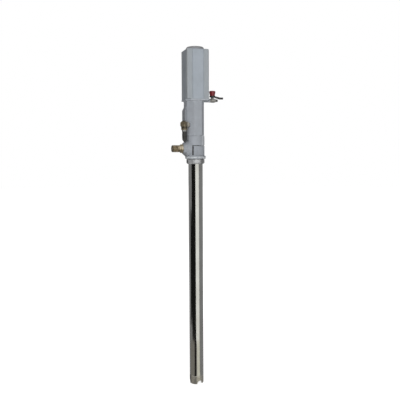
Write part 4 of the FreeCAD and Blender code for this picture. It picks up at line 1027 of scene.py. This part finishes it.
tree, place = parts_of(cover_alloy)
sides = split(tree, bend(tree, "ABSOLUTE", place))
corner = between(tree, plus(tree, sides["X"], sides["Y"]), CORNER_START, CORNER_FULL)
worn = times(tree, cloud(tree, place, WEAR_SCALE, low=0.42, high=0.62), WEAR_IN_SPOTS)
rubbed = times(tree, corner, plus(tree, worn, WEAR_ALL_OVER))
# The corners' paler colour is wear and a painted edge highlight together.
lay_over(cover_alloy, (176, 181, 185), rubbed)
print("cover corners rubbed where |x| + |y| passes", CORNER_START, "m")

# %% [markdown]
# ### The cover's panels
#
# Each side of the extruded cover has a middle panel between two fine grooves.
# The panel was brushed finer than the strips beside it, so it looks a little
# bluer, and the strips a little greyer. The groove gets painted shade. On any of
# the four sides the smaller of |x| and |y| is the distance from that side's
# middle line.

# %% Tint the cover's strips and grooves
GROOVE_START = 0.018
GROOVE_DARK = 0.02
GROOVE_PALE = 0.0205
GROOVE_END = 0.0225
STRIP_FULL = 0.0235
STRIP_TINT = 0.5
GROOVE_SHADE = 0.3

across = reckon(tree, "MINIMUM", sides["X"], sides["Y"])
strip = between(tree, across, GROOVE_PALE, STRIP_FULL)
lay_over(cover_alloy, (153, 157, 158), times(tree, strip, STRIP_TINT))
# The grooves get painted shade.
groove = times(
    tree,
    between(tree, across, GROOVE_START, GROOVE_DARK),
    between(tree, across, GROOVE_END, GROOVE_PALE),
)
lay_over(cover_alloy, (112, 117, 121), times(tree, groove, GROOVE_SHADE))
print("cover grooves between", GROOVE_START, "and", GROOVE_END, "m from each side's middle")

# %% [markdown]
# ## Screw threads by Geometry Nodes
#
# The brass nipple ends in a three quarter inch pipe thread, the air fitting in
# a one eighth inch one. In the solids both are plain cylinders. A thread
# follows a rule, one turn for each pitch, which is work for Geometry Nodes: a
# spiral carries a diamond-shaped profile whose outer half stands out of the
# core as the ridge. The same tree makes both threads from different inputs.

# %% Build the thread tree
TURN_STEPS = 40
DIAMOND_CORNERS = 4
INTEGER = "NodeSocketInt"
MATERIAL = "NodeSocketMaterial"
SHAPE_OUT = {"Geometry": "NodeSocketGeometry"}
SHAPE_TREE = "GeometryNodeTree"


def end_tree(tree, given, end, shape):
    """Ends a tree with real geometry that carries its material."""
    colored = add_node(tree, "GeometryNodeSetMaterial", {
        "Geometry": shape,
        "Material": given["Material"],
    })
    real = add_node(tree, "GeometryNodeRealizeInstances", {"Geometry": colored.outputs[0]})
    give_out(tree, end, Geometry=real.outputs[0])


thread_tree, given, end = new_group("screw_thread", {
    "Crest Radius": FLOAT,
    "Ridge": FLOAT,
    "Pitch": FLOAT,
    "Length": FLOAT,
    "Material": MATERIAL,
}, SHAPE_OUT, SHAPE_TREE)
middle = less(thread_tree, given["Crest Radius"], given["Ridge"])
spiral = add_node(thread_tree, "GeometryNodeCurveSpiral", {
    "Resolution": TURN_STEPS,
    "Rotations": reckon(thread_tree, "DIVIDE", given["Length"], given["Pitch"]),
    "Start Radius": middle,
    "End Radius": middle,
    "Height": given["Length"],
}).outputs[0]
upright = add_node(
    thread_tree, "GeometryNodeSetCurveNormal", {"Curve": spiral}, mode="Z_UP",
).outputs[0]
diamond = add_node(thread_tree, "GeometryNodeCurvePrimitiveCircle", {
    "Resolution": DIAMOND_CORNERS,
    "Radius": given["Ridge"],
}).outputs[0]
ridge = add_node(thread_tree, "GeometryNodeCurveToMesh", {
    "Curve": upright,
    "Profile Curve": diamond,
    "Fill Caps": True,
}).outputs[0]
end_tree(thread_tree, given, end, ridge)

# %% [markdown]
# ### From a tree to a plain mesh
#
# A modifier's inputs have names for people and identifiers for scripts. The
# helper sets them by identifier, evaluates the object once, keeps the result as
# a plain mesh and throws the modifier's object away.

# %% A helper that runs a tree


def run_tree(tree, name, **values):
    """The mesh that the tree makes with these input values."""
    carrier = bpy.data.objects.new(name, bpy.data.meshes.new(name))
    bpy.context.scene.collection.objects.link(carrier)
    modifier = carrier.modifiers.new("shape", "NODES")
    modifier.node_group = tree
    for item in tree.interface.items_tree:
        if item.item_type == "SOCKET" and item.in_out == "INPUT":
            modifier[item.identifier] = values[item.name.replace(" ", "_").lower()]
    made = bpy.data.meshes.new_from_object(
        carrier.evaluated_get(bpy.context.evaluated_depsgraph_get())
    )
    bpy.data.objects.remove(carrier)
    made.name = name
    return made


print("ready to run:", thread_tree.name)

# %% [markdown]
# ### From a CAD piece to a dressed piece
#
# A CAD piece can't be changed, so a piece that needs more form is a copy of it
# that takes its place. The copy's loose triangles are merged, its points are
# moved by a small rule, the mesh from the tree is added, and faces that meet at
# a low angle are shaded as one. The new piece then rides on the same body.

# %% Helpers that copy a CAD piece and put the copy in its place
MERGE_DISTANCE = 1.5e-6
SMOOTH_ANGLE = math.radians(32)


def core_copy(name, shape):
    """A merged copy of a CAD piece, as mesh code, after shape has moved its points."""
    made = bmesh.new()
    made.from_mesh(nodes[name].data)
    bmesh.ops.remove_doubles(made, verts=made.verts, dist=MERGE_DISTANCE)
    for point in made.verts:
        shape(point)
    return made


def join_piece(name, made, material, body, replaced, extra=None):
    """Ends mesh code as an object that rides on a body in a CAD piece's place."""
    if extra is not None:
        made.from_mesh(extra)
    for edge in made.edges:
        if len(edge.link_faces) == 2:
            edge.smooth = edge.calc_face_angle(0) < SMOOTH_ANGLE
    for face in made.faces:
        face.smooth = True
        face.material_index = 0
    mesh = bpy.data.meshes.new(name)
    made.to_mesh(mesh)
    made.free()
    mesh.materials.append(material)
    piece = bpy.data.objects.new(name, mesh)
    bpy.context.scene.collection.objects.link(piece)
    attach(piece, body)
    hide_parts(replaced)
    print(name, "has", len(mesh.polygons), "faces")


print("faces that meet below", round(math.degrees(SMOOTH_ANGLE)), "degrees are shaded as one")

# %% [markdown]
# ### The threads of the nipple and the air fitting
#
# Both threads lie along the X axis, at the height of their own fitting. A plain
# cylinder stands as high as the crests of its thread, so it is first turned
# down to the root, as on a lathe, and then the ridge winds round it.

# %% Cut the thread of the outlet nipple
END_MARGIN = 0.0001
NIPPLE_CREST = 0.0132
NIPPLE_ROOT = 0.01206
NIPPLE_RIDGE = 0.00088
NIPPLE_PITCH = 0.001814
NIPPLE_THREAD = 0.0272
NIPPLE_LEAD = 0.0016
NIPPLE_SHANK = 0.0315


def turn_down(start, stop, level, root):
    """A rule that turns a lying cylinder down to its thread's root."""
    def shape(point):
        away = Vector((0, point.co.y, point.co.z - level))
        if start < point.co.x < stop and away.length > root:
            away = away.normalized() * root
            point.co = Vector((point.co.x, away.y, away.z + level))
    return shape


def lay_thread(name, start, level, **sizes):
    """A thread's ridge that winds along the X axis from start, at this height."""
    made = run_tree(thread_tree, name, **sizes)
    made.transform(
        Matrix.Translation((start, 0, level)) @ Matrix.Rotation(math.radians(90), 4, "Y")
    )
    return made


nipple_low, nipple_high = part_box("outlet_nipple")
outlet_level = (nipple_low.z + nipple_high.z) / 2
slim_nipple = turn_down(
    nipple_low.x - END_MARGIN, nipple_low.x + NIPPLE_SHANK, outlet_level, NIPPLE_ROOT,
)
nipple_thread = lay_thread(
    "nipple_thread", nipple_low.x + NIPPLE_LEAD, outlet_level, crest_radius=NIPPLE_CREST,
    ridge=NIPPLE_RIDGE, pitch=NIPPLE_PITCH, length=NIPPLE_THREAD, material=brass,
)
join_piece(
    "outlet_nipple_threaded", core_copy("outlet_nipple", slim_nipple), brass,
    "pump", "outlet_nipple", extra=nipple_thread,
)

# %% Cut the thread of the air fitting
AIR_CREST = 0.00485
AIR_ROOT = 0.00432
AIR_RIDGE = 0.00044
AIR_PITCH = 0.000907
AIR_SHANK = 0.0075
AIR_LEAD = 0.0008
AIR_THREAD = 0.0057

fitting_low, fitting_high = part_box("inlet_valve_end")
inlet_level = (fitting_low.z + fitting_high.z) / 2
shank_start = fitting_high.x - AIR_SHANK
slim_fitting = turn_down(
    shank_start - END_MARGIN, fitting_high.x + END_MARGIN, inlet_level, AIR_ROOT,
)
air_thread = lay_thread(
    "air_thread", shank_start + AIR_LEAD, inlet_level, crest_radius=AIR_CREST,
    ridge=AIR_RIDGE, pitch=AIR_PITCH, length=AIR_THREAD, material=nickel_brass,
)
join_piece(
    "inlet_fitting_threaded", core_copy("inlet_valve_end", slim_fitting), nickel_brass,
    "pump", "inlet_valve_end", extra=air_thread,
)

# %% [markdown]
# ## The lever's grip
#
# The lever is a bent steel bar whose outer end wears a black slip-on grip, a
# little thicker than the bar. The copy of the CAD lever gets it by moving the
# points of that end: down, and a hair up. The bar's slope then runs into the
# grip by itself.

# %% Thicken the lever's end
GRIP_LENGTH = 0.0155
GRIP_ABOVE = 0.0004
GRIP_BELOW = 0.0014
ARM_THICKNESS = 0.005

lever_low, lever_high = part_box("valve_lever")
grip_start = lever_high.x - GRIP_LENGTH
arm_middle = lever_low.z + ARM_THICKNESS / 2


def grip_lever(point):
    """Moves the points of the arm's outer end out to the grip's skin."""
    if point.co.x > grip_start:
        if point.co.z < arm_middle:
            point.co.z -= GRIP_BELOW
        else:
            point.co.z += GRIP_ABOVE


join_piece(
    "valve_lever_gripped", core_copy("valve_lever", grip_lever), lever_black,
    "lever", "valve_lever",
)

# %% [markdown]
# ## The silencer's fins
#
# The black silencer lets the spent air out through slots between fins. The
# solid has the ring grooves. The upright fins that bridge them repeat twelve
# times round and five times down. Geometry Nodes place one small bar on the
# points of a circle, turn each bar outwards, and place that ring on the points
# of an upright line.

# %% Build the fin tree
fin_tree, given, end = new_group("fin_rings", {
    "Radius": FLOAT,
    "Fins": INTEGER,
    "Rings": INTEGER,
    "Pitch": FLOAT,
    "Fin Size": VECTOR,
    "Material": MATERIAL,
}, SHAPE_OUT, SHAPE_TREE)
bar = add_node(fin_tree, "GeometryNodeMeshCube", {"Size": given["Fin Size"]}).outputs[0]
round_way = add_node(fin_tree, "GeometryNodeMeshCircle", {
    "Vertices": given["Fins"],
    "Radius": given["Radius"],
}).outputs[0]
outward = add_node(fin_tree, "FunctionNodeAlignRotationToVector", {
    "Vector": add_node(fin_tree, "GeometryNodeInputPosition").outputs[0],
}, axis="X").outputs[0]
ring = add_node(fin_tree, "GeometryNodeInstanceOnPoints", {
    "Points": round_way,
    "Instance": bar,
    "Rotation": outward,
}).outputs[0]
step = add_node(fin_tree, "ShaderNodeCombineXYZ", {
    "Z": times(fin_tree, given["Pitch"], -1.0),
}).outputs[0]
line = add_node(fin_tree, "GeometryNodeMeshLine", {
    "Count": given["Rings"],
    "Offset": step,
}).outputs[0]
rings = add_node(fin_tree, "GeometryNodeInstanceOnPoints", {
    "Points": line,
    "Instance": ring,
}).outputs[0]
end_tree(fin_tree, given, end, rings)

# %% [markdown]
# ### The finned silencer
#
# Below its last groove the silencer is closed and draws in to a small round
# tip. The solid ends in a plain cylinder, so the copy's lower points move in
# towards the middle, the more the lower they lie.

# %% Put the fins on the silencer and draw in its tip
FIN_INSET = 0.00085
FIN_COUNT = 12
RING_COUNT = 5
RING_PITCH = 0.005
FIN_SIZE = (0.0013, 0.0011, 0.0024)
FIRST_RING_DROP = 0.0039
TIP_LENGTH = 0.014
TIP_SHARE = 0.5
TIP_CURVE = 1.5

silencer_low, silencer_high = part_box("silencer")
silencer_middle = (silencer_low + silencer_high) / 2
silencer_radius = (silencer_high.x - silencer_low.x) / 2
tip_start = silencer_low.z + TIP_LENGTH
fins = run_tree(
    fin_tree, "silencer_fins", radius=silencer_radius - FIN_INSET, fins=FIN_COUNT,
    rings=RING_COUNT, pitch=RING_PITCH, fin_size=FIN_SIZE, material=silencer_black,
)
fins.transform(Matrix.Translation((
    silencer_middle.x, silencer_middle.y, silencer_high.z - FIRST_RING_DROP,
)))


def taper_tip(point):
    """Draws the silencer's plain lower end in towards a small round tip."""
    if point.co.z < tip_start:
        drop = (tip_start - point.co.z) / TIP_LENGTH
        share = 1 - TIP_SHARE * drop ** TIP_CURVE
        point.co.x = silencer_middle.x + (point.co.x - silencer_middle.x) * share
        point.co.y = silencer_middle.y + (point.co.y - silencer_middle.y) * share


join_piece(
    "silencer_finned", core_copy("silencer", taper_tip), silencer_black,
    "pump", "silencer", extra=fins,
)
